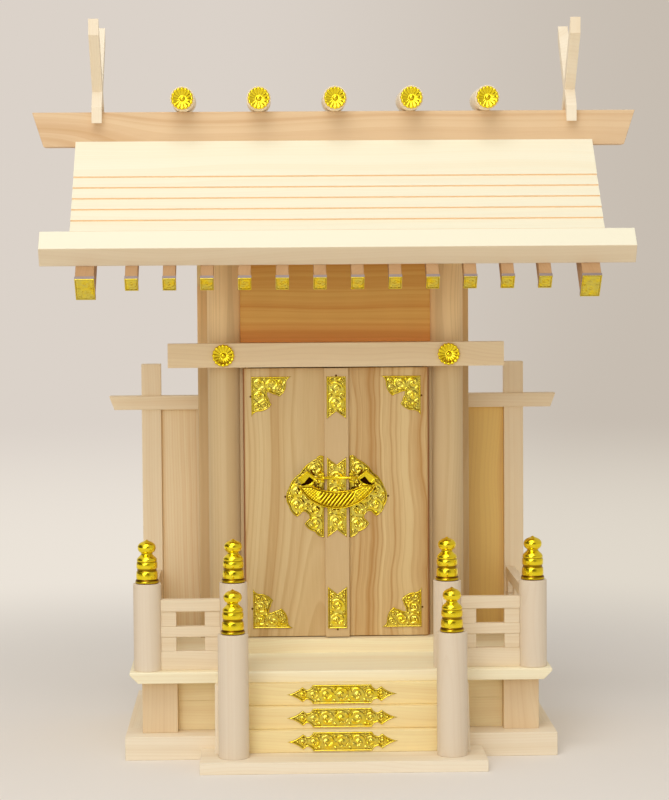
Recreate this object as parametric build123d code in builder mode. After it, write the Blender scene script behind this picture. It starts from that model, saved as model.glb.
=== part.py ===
"""Kamidana, a small household shrine of plain cypress with gilt fittings.

Millimetres. +Z is up, the front faces -Y, and the origin is on the shelf it stands on,
under the middle of its outer box.
"""

import os
from math import cos, pi, radians, sin, tan

from build123d import *

# Overall depth, and the small seats that all pieces share
depth = 213.0
front_edge = -depth / 2
rear_edge = depth / 2
fit = 0.05  # joint between a coped end and the round post it meets

# Stair foot: the base board, three steps and their side strings
base_board_half = 90.1
base_board_depth = 46.1
base_board_thk = 7.3
step_rise = 14.0
step_count = 3
step_run = 6.2
bottom_step_depth = 17.3
stair_half = 81.0
string_thk = 3.0
string_lead = 1.6  # how far a string stands in front of the step noses

# Plinth: sills, corner posts and recessed boards
sill_half = 138.9
sill_height = 15.1
sill_width = 30.0
plinth_post_side_set_in = 10.6
plinth_post_width = 22.8
plinth_post_depth = 20.0
plinth_post_set_in = 12.9
plinth_board_thk = 4.0
plinth_board_recess = 9.0

# Platform
platform_half = 135.7
platform_thk = 7.2
platform_lip = 0.9  # how far the sill stands in front of the platform
platform_round = 1.2
platform_undercut = 5.5

# Railing posts, newels and the turned finials on them
rail_post_radius = 9.0
rail_post_height = 56.2
inner_post_x = 68.9
outer_post_x = 124.3
post_set_back = 10.9
newel_radius = 9.65
newel_height = 78.3
newel_set_back = 18.3
finial_height = 28.3
finial_flange_radius = 7.65
finial_flange_height = 2.8
finial_drum_radius = 6.7
finial_drum_top = 15.6
finial_neck_radius = 2.7
finial_ball_low = 20.4
finial_ball_radius = 5.9
finial_ball_height = 6.7
finial_ball_bands = 4

# Rails between the posts: three bars with blocks between them
rail_thk = 6.0
bottom_rail_height = 12.3
middle_rail_low = 21.5
middle_rail_height = 6.7
top_rail_low = 37.9
top_rail_height = 7.8
block_width = 9.6
block_thk = 5.0
hand_rail_width = 8.0
hand_rail_height = 9.0
hand_rail_drop = 2.0  # top of the hand rail below the tops of both its posts

# Shrine body: columns, door frame, walls
column_radius = 11.3
opening_half = 63.3
column_front = 18.3
beam_thk = 8.0
threshold_height = 9.4
frame_depth = 9.5
door_clear = 0.6
door_height = 180.7
leaf_proud = 0.3  # fronts of the leaves before the fronts of the columns
head_clear = 1.0
head_beam_half = 111.9
head_beam_height = 16.0
stop_width = 7.0
stop_thk = 4.0
stop_gap = 0.4
upper_panel_set_back = 7.7
panel_thk = 4.0
rear_post_size = 16.0
rear_post_outer = 93.9
rear_post_set_in = 12.3
side_wall_outer = 82.0
rear_wall_set_in = 4.2
rosette_radius = 7.5
rosette_x = 75.0
rosette_thk = 2.4

# Wings beside the body
wing_post_inner = 120.3
wing_post_width = 13.6
wing_post_thk = 8.0
wing_post_back = 1.8  # wing posts behind the rear faces of the body's posts
wing_post_height = 190.5
wing_rail_rise = 158.6  # from the platform
wing_rail_height = 9.6
wing_rail_thk = 11.6
wing_rail_reach = 156.5
wing_rail_slant = 3.6
wing_lap = 13.9  # length of rail and panel behind the body's rear post
wing_panel_set_back = 3.0
wing_panel_thk = 3.0

# Roof
roof_pitch = 44.5
ridge_y = 17.5
roof_thk = 12.5
eave_reach = 72.8  # ridge to the front lower edge of the eave board
eave_rise = 259.9  # platform to the lower edge of the eave board
eave_board_half = 190.0
eave_board_run = 16.0  # length of the eave board along the slope
eave_nose = 6.5  # how far its top edge stands out past its lower edge, level
slab_half = 170.9
course_count = 5
course_pitch = 10.2
course_step = 0.9
ridge_board_half = 199.3
ridge_board_slant = 7.2
ridge_board_height = 22.7
ridge_board_thk = 14.9
ridge_seat = 3.5  # ridge board below the slab's top edge
purlin_height = 16.0
plate_width = 12.0
plate_height = 13.2  # at the lower edge of its bevel
plate_front = 25.0

# Rafters with gilt end caps
rafter_count = 12
rafter_pitch = 23.9
rafter_width = 8.0
rafter_height = 10.0
rafter_reach = 11.0  # past the lower edge of the eave board, along the slope
barge_centre = 161.0
barge_width = 12.0
barge_height = 18.0
cap_thk = 1.2
cap_border = 0.3

# Ridge logs and crossed finials on the ridge board
log_count = 5
log_pitch = 50.0
log_radius = 8.0
log_length = 44.0
log_flat = 0.2
log_cap_radius = 7.35
log_cap_thk = 2.4
petal_count = 16
petal_notch = 0.08  # depth of the notches between petals, as a share of the radius
flower_rim = 0.86  # radius of the raised rim, as a share of the outer one
flower_dish = 0.36  # radius of the middle of the dish, likewise
flower_boss = 0.2
chigi_centre = 156.5
chigi_thk = 6.7
chigi_lean = 40.0
chigi_width = 6.8
chigi_notch = 0.3  # depth of the arms' seat on the arrises of the ridge board
chigi_top_run = 33.3  # level distance of the upper ends from the ridge
chigi_foot_run = 13.5

# Door leaves, turning on pins in the threshold and the door head
leaf_thk = 6.0
leaf_gap = 1.0
meeting_gap = 1.0
pin_radius = 1.5
pin_length = 3.0
pin_clear = 0.05
bore_extra = 0.5
astragal_width = 16.0
astragal_thk = 4.0
astragal_relief = 0.3

# Gilt door fittings
plate_thk = 0.8
plate_scallop = 0.05  # bow of the plates' scalloped edges
corner_plate_arm = 27.0
corner_plate_end = (23.4, 5.4)  # cusp beside the pointed end of an arm
corner_plate_lobe = (18.7, 13.6)
corner_plate_cusp = (14.9, 12.0)
corner_plate_notch = 10.6  # deepest point of the notch, from both edges of the plate
corner_plate_edge = 5.6  # from the leaf's edges
edge_strip_width = 13.0
edge_strip_length = 28.4
centre_strip_length = 54.0
strip_notch = 5.0
lock_plate_inner = 8.5
lock_plate_outer = 34.0
lock_plate_height = 54.6
lock_plate_shoulder = 5.1  # from the inner edge to the first cusp
lock_plate_shoulder_drop = 1.5
lock_plate_cusp = 16.1  # cusp on the upper diagonal, from the edge and from the middle
lock_plate_side = (23.6, 6.2)  # cusps above and below the widest point
lock_plate_lobe = (18.0, 13.3)
lock_plate_inner_cusp = (14.8, 10.2)
lock_plate_notch = 11.3

# Shrimp lock: a rod above a curved body, its ends in forked brackets, one on each leaf
lock_plate_rise = 94.1  # middle of the lock plates above the leaves' lower edges
rod_radius = 1.5
rod_rise = 13.3  # rod above the middle of the lock plates
strip_clear = 0.6  # between the lock and the strip behind it
lock_thk = 3.9
lock_half = 26.2
lock_end_inner = 13.4
lock_end_height = 10.0
lock_bow_low = -7.7  # lowest point of the curved body from the plates' middle
lock_bow_high = 4.4
lock_tip_rise = 8.3
fork_inner = 8.4
fork_width = 2.5
fork_prong = 1.6

# Gilt fittings on the steps
step_plate_half = 35.3
step_plate_straight = 18.8
step_plate_height = 12.3
step_plate_neck = (22.8, 3.2)  # from the middle, and half its height
step_plate_lobe = (25.2, 4.9)

# Levels and places that follow from the sizes above
plinth_top = base_board_thk + step_count * step_rise
floor_level = plinth_top + platform_thk
sill_front = front_edge + base_board_depth
plinth_post_half = sill_half - plinth_post_side_set_in
platform_front = sill_front + platform_lip
post_row = platform_front + post_set_back
newel_row = front_edge + newel_set_back
post_top = floor_level + rail_post_height
newel_top = base_board_thk + newel_height
column_y = column_front + column_radius
column_x = opening_half + column_radius
threshold_top = floor_level + threshold_height
leaf_low = threshold_top + door_clear
leaf_high = leaf_low + door_height
head_low = leaf_high + head_clear
head_high = head_low + head_beam_height
lock_plate_centre = leaf_low + lock_plate_rise
leaf_front = column_front - leaf_proud
leaf_rear = leaf_front + leaf_thk
pivot_y = leaf_front + leaf_thk / 2
pivot_x = opening_half - leaf_gap - leaf_thk / 2
slope = tan(radians(roof_pitch))
eave_under = floor_level + eave_rise
under_apex = eave_under + eave_reach * slope
outer_apex = under_apex + roof_thk / cos(radians(roof_pitch))
ridge_face = ridge_board_thk / 2
ridge_low = outer_apex - ridge_face * slope - ridge_seat
ridge_top = ridge_low + ridge_board_height
plinth_board_front = sill_front + plinth_post_set_in + plinth_board_recess
rear_post_rear = rear_edge - rear_post_set_in
wing_post_front = rear_post_rear + wing_post_back
wing_post_top = floor_level + wing_post_height
wing_rail_low = floor_level + wing_rail_rise

os.makedirs("parts", exist_ok=True)


def save(piece, name):
    piece.part.label = name
    export_step(piece.part, f"parts/{name}.step")


def board(spans):
    """Square-edged boards in one piece, each given by its x, y and z spans."""
    with BuildPart() as piece:
        for (left, right), (near, far), (low, high) in spans:
            with BuildSketch(Plane.XY.offset(low)):
                with Locations(((left + right) / 2, (near + far) / 2)):
                    Rectangle(right - left, far - near)
            extrude(amount=high - low)
    return piece


def both_sides(near, far):
    """The span near..far to the right of the middle, and its mirror image."""
    return ((near, far), (-far, -near))


def across(outline, half, centre=0.0):
    """An outline in the YZ plane carried along X for half on each side of centre."""
    with BuildPart() as piece:
        with BuildSketch(Plane.YZ.offset(centre - half)):
            with BuildLine():
                Polyline(*outline, close=True)
            make_face()
        extrude(amount=2 * half)
    return piece


def round_post(x, y, low, high, radius):
    with BuildSketch(Plane.XY.offset(low)) as section:
        with Locations((x, y)):
            Circle(radius)
    extrude(section.sketch, amount=high - low)


def cope(x, y, radius):
    """Cuts the room for an upright round post out of the piece being built."""
    with Locations((x, y, 0)):
        Cylinder(
            radius + fit, 2 * outer_apex, align=(Align.CENTER, Align.CENTER, Align.MIN),
            mode=Mode.SUBTRACT,
        )


def roof_under(y):
    return under_apex - abs(y - ridge_y) * slope


def plate_low(rear_face):
    """Underside of a wall plate, from the roof above its rear, lower edge."""
    return roof_under(rear_face) - plate_height


# Base board
save(
    board([((-base_board_half, base_board_half), (front_edge, sill_front), (0, base_board_thk))]),
    "base_board",
)

# Steps: the lowest is notched over the sill, the others lie on it
step_back = plinth_board_front
step_side = stair_half - string_thk
for number in range(step_count):
    nose = sill_front - bottom_step_depth + number * step_run
    low = base_board_thk + number * step_rise
    high = low + step_rise
    outline = [(nose, low), (step_back, low), (step_back, high), (nose, high)]
    if low < sill_height:
        outline[1:2] = [(sill_front, low), (sill_front, sill_height), (step_back, sill_height)]
    save(across(outline, step_side), f"step_{number + 1}")

# Stair strings: side boards with a raked front edge
string_foot = sill_front - bottom_step_depth - string_lead
string_outline = [
    (string_foot, base_board_thk),
    (sill_front, base_board_thk),
    (sill_front, sill_height),
    (step_back, sill_height),
    (step_back, plinth_top),
    (string_foot + (step_count - 1) * step_run, plinth_top),
]
with BuildPart() as stair_strings:
    for low_x in (-stair_half, stair_half - string_thk):
        with BuildSketch(Plane.YZ.offset(low_x)):
            with BuildLine():
                Polyline(*string_outline, close=True)
            make_face()
        extrude(amount=string_thk)
save(stair_strings, "stair_strings")

# Sills: front and rear run through, the sides fit between them
front_sill = (sill_front, sill_front + sill_width)
rear_sill = (rear_edge - sill_width, rear_edge)
save(board([((-sill_half, sill_half), front_sill, (0, sill_height))]), "sill_front")
save(board([((-sill_half, sill_half), rear_sill, (0, sill_height))]), "sill_rear")
side_sill = (front_sill[1], rear_sill[0])
save(
    board([(x, side_sill, (0, sill_height)) for x in both_sides(sill_half - sill_width, sill_half)]),
    "sills_side",
)

# Plinth posts at the four corners
plinth_rows = (
    (sill_front + plinth_post_set_in, sill_front + plinth_post_set_in + plinth_post_depth),
    (rear_edge - plinth_post_set_in - plinth_post_depth, rear_edge - plinth_post_set_in),
)
post_inner = plinth_post_half - plinth_post_width
save(
    board([
        (x, row, (sill_height, plinth_top))
        for x in both_sides(post_inner, plinth_post_half)
        for row in plinth_rows
    ]),
    "plinth_posts",
)

# Plinth boards between the posts, on all four sides
board_height = (sill_height, plinth_top)
rear_board = rear_edge - plinth_post_set_in - plinth_board_recess
side_board = plinth_post_half - plinth_board_recess
side_board_run = (plinth_rows[0][1], plinth_rows[1][0])
front_board_run = (plinth_board_front, plinth_board_front + plinth_board_thk)
save(
    board([
        ((-post_inner, post_inner), front_board_run, board_height),
        ((-post_inner, post_inner), (rear_board - plinth_board_thk, rear_board), board_height),
    ] + [
        (x, side_board_run, board_height)
        for x in both_sides(side_board - plinth_board_thk, side_board)
    ]),
    "plinth_boards",
)

# Platform, its ends undercut and its front top edge eased
with BuildPart() as platform:
    with BuildSketch(Plane.XZ.offset(-rear_edge)):
        with BuildLine():
            Polyline(
                (-platform_half, floor_level),
                (platform_half, floor_level),
                (platform_half, plinth_top + platform_undercut),
                (platform_half - platform_undercut, plinth_top),
                (platform_undercut - platform_half, plinth_top),
                (-platform_half, plinth_top + platform_undercut),
                close=True,
            )
        make_face()
    extrude(amount=rear_edge - platform_front)
    front_top = platform.edges().filter_by(Axis.X).group_by(Axis.Y)[0].sort_by(Axis.Z)[-1]
    fillet(front_top, platform_round)
save(platform, "platform")

# Railing posts on the platform
post_places = [(sign * x, post_row) for x in (inner_post_x, outer_post_x) for sign in (-1, 1)]
with BuildPart() as railing_posts:
    for x, y in post_places:
        round_post(x, y, floor_level, post_top, rail_post_radius)
save(railing_posts, "railing_posts")

# Newels at the foot of the stairs
newel_places = [(sign * inner_post_x, newel_row) for sign in (-1, 1)]
with BuildPart() as newels:
    for x, y in newel_places:
        round_post(x, y, base_board_thk, newel_top, newel_radius)
save(newels, "newels")


def finial(x, y, seat):
    """A turned giboshi finial: flange, drum, shoulder, and a pointed ball turned in bands."""
    ball_high = finial_ball_low + finial_ball_height
    with BuildSketch(Plane((x, y, seat), x_dir=(1, 0, 0), z_dir=(0, -1, 0))) as profile:
        with BuildLine():
            ball = ThreePointArc(
                (finial_neck_radius, finial_ball_low),
                (finial_ball_radius, (finial_ball_low + ball_high) / 2),
                (finial_neck_radius, ball_high),
                mode=Mode.PRIVATE,
            )
            Polyline(
                (0, 0),
                (finial_flange_radius, 0),
                (finial_flange_radius, 0.7 * finial_flange_height),
                (finial_drum_radius, finial_flange_height),
                (finial_drum_radius, finial_drum_top),
                *[ball @ (band / finial_ball_bands) for band in range(finial_ball_bands)],
                (0, finial_height),
                close=True,
            )
        make_face()
    revolve(profile.sketch, axis=Axis((x, y, 0), (0, 0, 1)))


# Finials on all six posts
with BuildPart() as finials:
    for x, y in post_places:
        finial(x, y, post_top)
    for x, y in newel_places:
        finial(x, y, newel_top)
save(finials, "finials")

# Rails: top, middle and bottom bars between posts
rail_levels = (
    (floor_level, floor_level + bottom_rail_height),
    (floor_level + middle_rail_low, floor_level + middle_rail_low + middle_rail_height),
    (floor_level + top_rail_low, floor_level + top_rail_low + top_rail_height),
)
block_levels = tuple(
    (below[1], above[0]) for below, above in zip(rail_levels, rail_levels[1:])
)
with BuildPart() as front_rails:
    for x in both_sides(inner_post_x, outer_post_x):
        for level in rail_levels:
            with Locations((sum(x) / 2, post_row, sum(level) / 2)):
                Box(x[1] - x[0], rail_thk, level[1] - level[0])
    for x, y in post_places:
        cope(x, y, rail_post_radius)
save(front_rails, "front_rails")

# Side rails from the outer posts back to the wing posts
side_run = wing_post_front - post_row
with BuildPart() as side_rails:
    for sign in (-1, 1):
        for level in rail_levels:
            with Locations((sign * outer_post_x, post_row + side_run / 2, sum(level) / 2)):
                Box(rail_thk, side_run, level[1] - level[0])
    for x, y in post_places:
        cope(x, y, rail_post_radius)
save(side_rails, "side_rails")

# Blocks between the rails: by both posts in front, at four even places along the sides
first_block = post_row + (rail_post_radius + block_width) / 2
last_block = wing_post_front - block_width / 2
with BuildPart() as rail_blocks:
    for sign in (-1, 1):
        for level in block_levels:
            tall = level[1] - level[0]
            for end, inward in ((inner_post_x, 1), (outer_post_x, -1)):
                middle = end + inward * (rail_post_radius + block_width) / 2
                with Locations((sign * middle, post_row, sum(level) / 2)):
                    Box(rail_post_radius + block_width, block_thk, tall)
            with Locations((sign * outer_post_x, first_block, sum(level) / 2)):
                Box(block_thk, rail_post_radius + block_width, tall)
            for share in (1 / 3, 2 / 3, 1):
                place = first_block + share * (last_block - first_block)
                with Locations((sign * outer_post_x, place, sum(level) / 2)):
                    Box(block_thk, block_width, tall)
    for x, y in post_places:
        cope(x, y, rail_post_radius)
save(rail_blocks, "rail_blocks")

# Raking hand rails from the newels up to the inner posts
hand_rail_outline = [
    (newel_row, newel_top - hand_rail_drop),
    (newel_row, newel_top - hand_rail_drop - hand_rail_height),
    (post_row, post_top - hand_rail_drop - hand_rail_height),
    (post_row, post_top - hand_rail_drop),
]
with BuildPart() as hand_rails:
    for sign in (-1, 1):
        with BuildSketch(Plane.YZ.offset(sign * inner_post_x - hand_rail_width / 2)):
            with BuildLine():
                Polyline(*hand_rail_outline, close=True)
            make_face()
        extrude(amount=hand_rail_width)
    for x, y in newel_places:
        cope(x, y, newel_radius)
    for x, y in post_places:
        cope(x, y, rail_post_radius)
save(hand_rails, "hand_rails")

# Columns beside the doors
front_plate_low = plate_low(plate_front + plate_width)
with BuildPart() as columns:
    for sign in (-1, 1):
        round_post(sign * column_x, column_y, floor_level, front_plate_low, column_radius)
save(columns, "columns")

# Threshold: a board in front of the columns with a tongue between them
frame_rear = leaf_front + frame_depth
frame_places = ((-column_x, column_y), (column_x, column_y))
pivots = [(sign * pivot_x, pivot_y) for sign in (-1, 1)]
beam_front = column_front - beam_thk


def frame_bar(half, low, high):
    """A bar across the columns: full length in front of them, coped between them."""
    with BuildSketch(Plane.XY.offset(low)) as plan:
        with Locations((0, (beam_front + column_front) / 2)):
            Rectangle(2 * half, column_front - beam_front)
        with Locations((0, (column_front + frame_rear) / 2)):
            Rectangle(2 * column_x, frame_rear - column_front)
    extrude(plan.sketch, amount=high - low)
    for x, y in frame_places:
        cope(x, y, column_radius)


with BuildPart() as threshold:
    frame_bar(column_x + column_radius, floor_level, threshold_top)
    with Locations(*[(x, y, threshold_top) for x, y in pivots]):
        Hole(pin_radius + pin_clear, depth=pin_length + bore_extra)
save(threshold, "threshold")

# Head beam across the columns, over the doors
with BuildPart() as head_beam:
    frame_bar(head_beam_half, head_low, head_high)
    with Locations(*[Location((x, y, head_low), (180, 0, 0)) for x, y in pivots]):
        Hole(pin_radius + pin_clear, depth=pin_length + bore_extra)
save(head_beam, "head_beam")

# Door stops behind the leaves, against the columns
stop_inner = opening_half - stop_width
stop_front = leaf_rear + stop_gap
with BuildPart() as door_stops:
    for sign in (-1, 1):
        with BuildSketch(Plane.XY.offset(threshold_top)):
            with Locations((sign * (stop_inner + column_x) / 2, stop_front + stop_thk / 2)):
                Rectangle(column_x - stop_inner, stop_thk)
        extrude(amount=head_low - threshold_top)
    for x, y in frame_places:
        cope(x, y, column_radius)
save(door_stops, "door_stops")

# Upper panel between the columns, from the head beam to the wall plate
upper_front = column_front + upper_panel_set_back
with BuildPart() as upper_panel:
    with BuildSketch(Plane.XY.offset(head_high)):
        with Locations((0, upper_front + panel_thk / 2)):
            Rectangle(2 * column_x, panel_thk)
    extrude(amount=front_plate_low - head_high)
    for x, y in frame_places:
        cope(x, y, column_radius)
save(upper_panel, "upper_panel")

# Square posts at the rear corners of the body
rear_post_inner = rear_post_outer - rear_post_size
rear_post_y = (rear_post_rear - rear_post_size, rear_post_rear)
rear_plate_front = (sum(rear_post_y) - plate_width) / 2
rear_plate_low = plate_low(rear_plate_front + plate_width)
save(
    board([
        (x, rear_post_y, (floor_level, rear_plate_low))
        for x in both_sides(rear_post_inner, rear_post_outer)
    ]),
    "rear_posts",
)

# Side walls from the columns to the rear posts, their tops cut to the roof's slope
wall_front = column_y
side_wall_outline = [
    (wall_front, floor_level),
    (rear_post_y[0], floor_level),
    (rear_post_y[0], roof_under(rear_post_y[0])),
    (plate_front + plate_width, roof_under(plate_front + plate_width)),
    (plate_front + plate_width, front_plate_low),
    (wall_front, front_plate_low),
]
with BuildPart() as side_walls:
    for low_x in (-side_wall_outer, side_wall_outer - panel_thk):
        with BuildSketch(Plane.YZ.offset(low_x)):
            with BuildLine():
                Polyline(*side_wall_outline, close=True)
            make_face()
        extrude(amount=panel_thk)
    for x, y in frame_places:
        cope(x, y, column_radius)
save(side_walls, "side_walls")

# Rear wall between the rear posts
rear_wall_rear = rear_post_rear - rear_wall_set_in
rear_wall = board([(
    (-rear_post_inner, rear_post_inner),
    (rear_wall_rear - panel_thk, rear_wall_rear),
    (floor_level, rear_plate_low),
)])
save(rear_wall, "rear_wall")

# Wall plates carrying the roof, their tops bevelled to its slope: the front one reaches the
# barge rafters, the rear one lies on the rear posts
barge_inner = barge_centre - barge_width / 2
with BuildPart() as wall_plates:
    for near, low, half in (
        (plate_front, front_plate_low, barge_inner - cap_border),
        (rear_plate_front, rear_plate_low, rear_post_outer),
    ):
        far = near + plate_width
        with BuildSketch(Plane.YZ.offset(-half)):
            with BuildLine():
                Polyline(
                    (near, low), (far, low), (far, roof_under(far)), (near, roof_under(near)),
                    close=True,
                )
            make_face()
        extrude(amount=2 * half)
save(wall_plates, "wall_plates")

# Ridge purlin under the ridge board
purlin_section = [
    (ridge_y - ridge_face, ridge_low),
    (ridge_y + ridge_face, ridge_low),
    (ridge_y + ridge_face, ridge_low - purlin_height),
    (ridge_y - ridge_face, ridge_low - purlin_height),
]
save(across(purlin_section, barge_inner), "ridge_purlin")

# Roof slopes: a slab in stepped courses and a wider eave board, front and rear
pitch_cos = cos(radians(roof_pitch))
pitch_sin = sin(radians(roof_pitch))
under_tip = eave_reach  # level distance from the ridge to the eave board's lower edge
eave_top_run = under_tip + eave_nose
nose_high = outer_apex - eave_top_run * slope
slab_end = eave_top_run - eave_board_run * pitch_cos
slab_end_under = slab_end - roof_thk * pitch_sin


def slope_points(sign, points):
    """Points given as level run from the ridge and height, on the front (-1) or rear (1)."""
    return [(ridge_y + sign * run, height) for run, height in points]


def slab_section():
    """Slab section: square cut at the eave, upright at the ridge board, courses lapped."""
    points = [
        (slab_end_under, under_apex - slab_end_under * slope),
        (slab_end, outer_apex - slab_end * slope),
    ]
    for number in range(1, course_count + 1):
        butt = slab_end - number * course_pitch * pitch_cos
        below = outer_apex - butt * slope
        points.append((butt + course_step * pitch_sin, below - course_step * pitch_cos))
        points.append((butt, below))
    points.append((ridge_face, outer_apex - ridge_face * slope))
    points.append((ridge_face, under_apex - ridge_face * slope))
    return points


eave_section = [
    (slab_end_under, under_apex - slab_end_under * slope),
    (slab_end, outer_apex - slab_end * slope),
    (eave_top_run, nose_high),
    (under_tip, under_apex - under_tip * slope),
]
for name, sign in (("front", -1), ("rear", 1)):
    save(across(slope_points(sign, slab_section()), slab_half), f"roof_slab_{name}")
    save(across(slope_points(sign, eave_section), eave_board_half), f"eave_board_{name}")


def along_slope(run, drop):
    """A point on the roof's underside at a level run, moved square into the roof space."""
    return (run - drop * pitch_sin, under_apex - run * slope - drop * pitch_cos)


# Rafters under the front slope, square cut past the eave
rafter_tip = under_tip + rafter_reach * pitch_cos
rafter_head = ridge_face
rafter_section = slope_points(-1, [
    along_slope(rafter_tip, 0),
    along_slope(rafter_tip, rafter_height),
    (rafter_head, under_apex - rafter_head * slope - rafter_height / pitch_cos),
    (rafter_head, under_apex - rafter_head * slope),
])
rafter_places = [(n - (rafter_count - 1) / 2) * rafter_pitch for n in range(rafter_count)]
with BuildPart() as rafters:
    for x in rafter_places:
        with BuildSketch(Plane.YZ.offset(x - rafter_width / 2)):
            with BuildLine():
                Polyline(*rafter_section, close=True)
            make_face()
        extrude(amount=rafter_width)
save(rafters, "rafters")


def end_cap(height, border):
    """Section of a gilt plate on a rafter's square-cut end."""
    top = along_slope(rafter_tip, -border)
    foot = along_slope(rafter_tip, height + border)
    out = (cap_thk * pitch_cos, -cap_thk * pitch_sin)
    corners = [top, foot, (foot[0] + out[0], foot[1] + out[1]), (top[0] + out[0], top[1] + out[1])]
    return slope_points(-1, corners)


# Barge rafters at both gables, mitred at the ridge under the ridge board: the front ones are
# cut square past the eave, the rear ones level with the lower edge of the eave board
barge_drop = barge_height / pitch_cos
barge_top = [
    (0, under_apex - barge_drop),
    (0, ridge_low),
    (ridge_face, ridge_low),
    (ridge_face, under_apex - ridge_face * slope),
]
barge_feet = {
    "front": (-1, [along_slope(rafter_tip, 0), along_slope(rafter_tip, barge_height)]),
    "rear": (1, [(under_tip, eave_under), (under_tip - barge_drop / slope, eave_under)]),
}
for name, (end, foot) in barge_feet.items():
    with BuildPart() as barge:
        for x in (-barge_centre, barge_centre):
            with BuildSketch(Plane.YZ.offset(x - barge_width / 2)):
                with BuildLine():
                    Polyline(*slope_points(end, barge_top + foot), close=True)
                make_face()
            extrude(amount=barge_width)
    save(barge, f"barge_rafters_{name}")

# Gilt caps on the ends of the rafters and of the front barge rafters
capped_ends = [(x, rafter_width, rafter_height) for x in rafter_places]
capped_ends += [(x, barge_width, barge_height) for x in (-barge_centre, barge_centre)]
with BuildPart() as rafter_caps:
    for x, width, height in capped_ends:
        with BuildSketch(Plane.YZ.offset(x - width / 2 - cap_border)):
            with BuildLine():
                Polyline(*end_cap(height, cap_border), close=True)
            make_face()
        extrude(amount=width + 2 * cap_border)
save(rafter_caps, "rafter_caps")

# Ridge board, its ends raked outward
with BuildPart() as ridge_board:
    with BuildSketch(Plane.XZ.offset(-(ridge_y + ridge_face))):
        with BuildLine():
            Polyline(
                (-ridge_board_half, ridge_top),
                (ridge_board_half, ridge_top),
                (ridge_board_half - ridge_board_slant, ridge_low),
                (ridge_board_slant - ridge_board_half, ridge_low),
                close=True,
            )
        make_face()
    extrude(amount=ridge_board_thk)
save(ridge_board, "ridge_board")

# Ridge logs: round billets with a flat where they lie on the board
log_places = [(n - (log_count - 1) / 2) * log_pitch for n in range(log_count)]
log_axis_z = ridge_top + log_radius - log_flat
log_front = ridge_y - log_length / 2
with BuildPart() as ridge_logs:
    with BuildSketch(Plane.XZ.offset(-(ridge_y + log_length / 2))):
        with Locations(*[(x, log_axis_z) for x in log_places]):
            Circle(log_radius)
        with Locations((0, ridge_top - log_radius)):
            Rectangle(log_count * log_pitch, 2 * log_radius, mode=Mode.SUBTRACT)
    extrude(amount=log_length)
save(ridge_logs, "ridge_logs")


def petal_ring(radius):
    """Corners of a ring of petals: their tips at radius, notched between them."""
    corners = []
    for turn in range(2 * petal_count):
        reach = radius * (1 - petal_notch * (turn % 2))
        angle = pi * turn / petal_count
        corners.append((reach * cos(angle), reach * sin(angle)))
    return corners


def gilt_flower(radius, thk):
    """A stamped flower: petals round a dished middle with a boss, facing +Z."""
    edge = 0.5 * thk
    rise = thk - edge
    with BuildPart() as flower:
        with BuildSketch():
            Polygon(*petal_ring(radius), align=None)
        extrude(amount=thk)
        top = flower.faces().sort_by(Axis.Z)[-1]
        chamfer(top.edges(), (1 - flower_rim) * radius, length2=rise, reference=top)
        rim = flower.faces().sort_by(Axis.Z)[-1]
        with BuildPart(mode=Mode.SUBTRACT) as dish:
            extrude(rim, amount=rise)
            extrude(rim, amount=-rise)
            floor = dish.faces().sort_by(Axis.Z)[0]
            dish_slope = (flower_rim - flower_dish) * radius
            chamfer(floor.edges(), dish_slope, length2=rise, reference=floor)
        with BuildSketch(Plane.XY.offset(edge)):
            RegularPolygon(flower_boss * radius, petal_count)
        extrude(amount=0.35 * thk)
    return flower.part


# Gilt flower caps on the front ends of the logs
log_flower = gilt_flower(log_cap_radius, log_cap_thk)
with BuildPart() as log_caps:
    for x in log_places:
        with Locations(Plane((x, log_front, log_axis_z), x_dir=(1, 0, 0), z_dir=(0, -1, 0))):
            add(log_flower)
save(log_caps, "ridge_log_caps")

# Crossed finials at the ends of the ridge: two arms halved together, astride the board, both
# their ends cut upright
lean_tan = tan(radians(chigi_lean))
arm_half_height = chigi_width / 2 / sin(radians(chigi_lean))  # half the height of an upright cut
cross_z = ridge_top + ridge_face / lean_tan + arm_half_height - chigi_notch


def arm_outline(toward):
    """An arm's outline: its top leans toward -1 (front) or 1 (rear) of the ridge."""
    corners = []
    for run, edges in ((chigi_top_run, (1, -1)), (-chigi_foot_run, (-1, 1))):
        for edge in edges:
            corners.append(
                (ridge_y + toward * run, cross_z + run / lean_tan + edge * arm_half_height)
            )
    return corners


for name, toward in (("front", -1), ("rear", 1)):
    with BuildPart() as arms:
        for centre in (-chigi_centre, chigi_centre):
            with BuildSketch(Plane.YZ.offset(centre)):
                with BuildLine():
                    Polyline(*arm_outline(toward), close=True)
                make_face()
            extrude(amount=chigi_thk / 2, both=True)
        for centre in (-chigi_centre, chigi_centre):
            with BuildSketch(Plane.YZ.offset(centre)):
                with BuildLine():
                    Polyline(*arm_outline(-toward), close=True)
                make_face()
            extrude(amount=toward * chigi_thk / 2, mode=Mode.SUBTRACT)
            with Locations((centre, ridge_y, (ridge_low + ridge_top) / 2)):
                Box(chigi_thk, ridge_board_thk, ridge_board_height, mode=Mode.SUBTRACT)
    save(arms, f"chigi_arms_{name}")

# Rosettes on the head beam over the columns
rosette_z = (head_low + head_high) / 2
rosette = gilt_flower(rosette_radius, rosette_thk)
with BuildPart() as rosettes:
    for x in (-rosette_x, rosette_x):
        with Locations(Plane((x, beam_front, rosette_z), x_dir=(1, 0, 0), z_dir=(0, -1, 0))):
            add(rosette)
save(rosettes, "rosettes")

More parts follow.
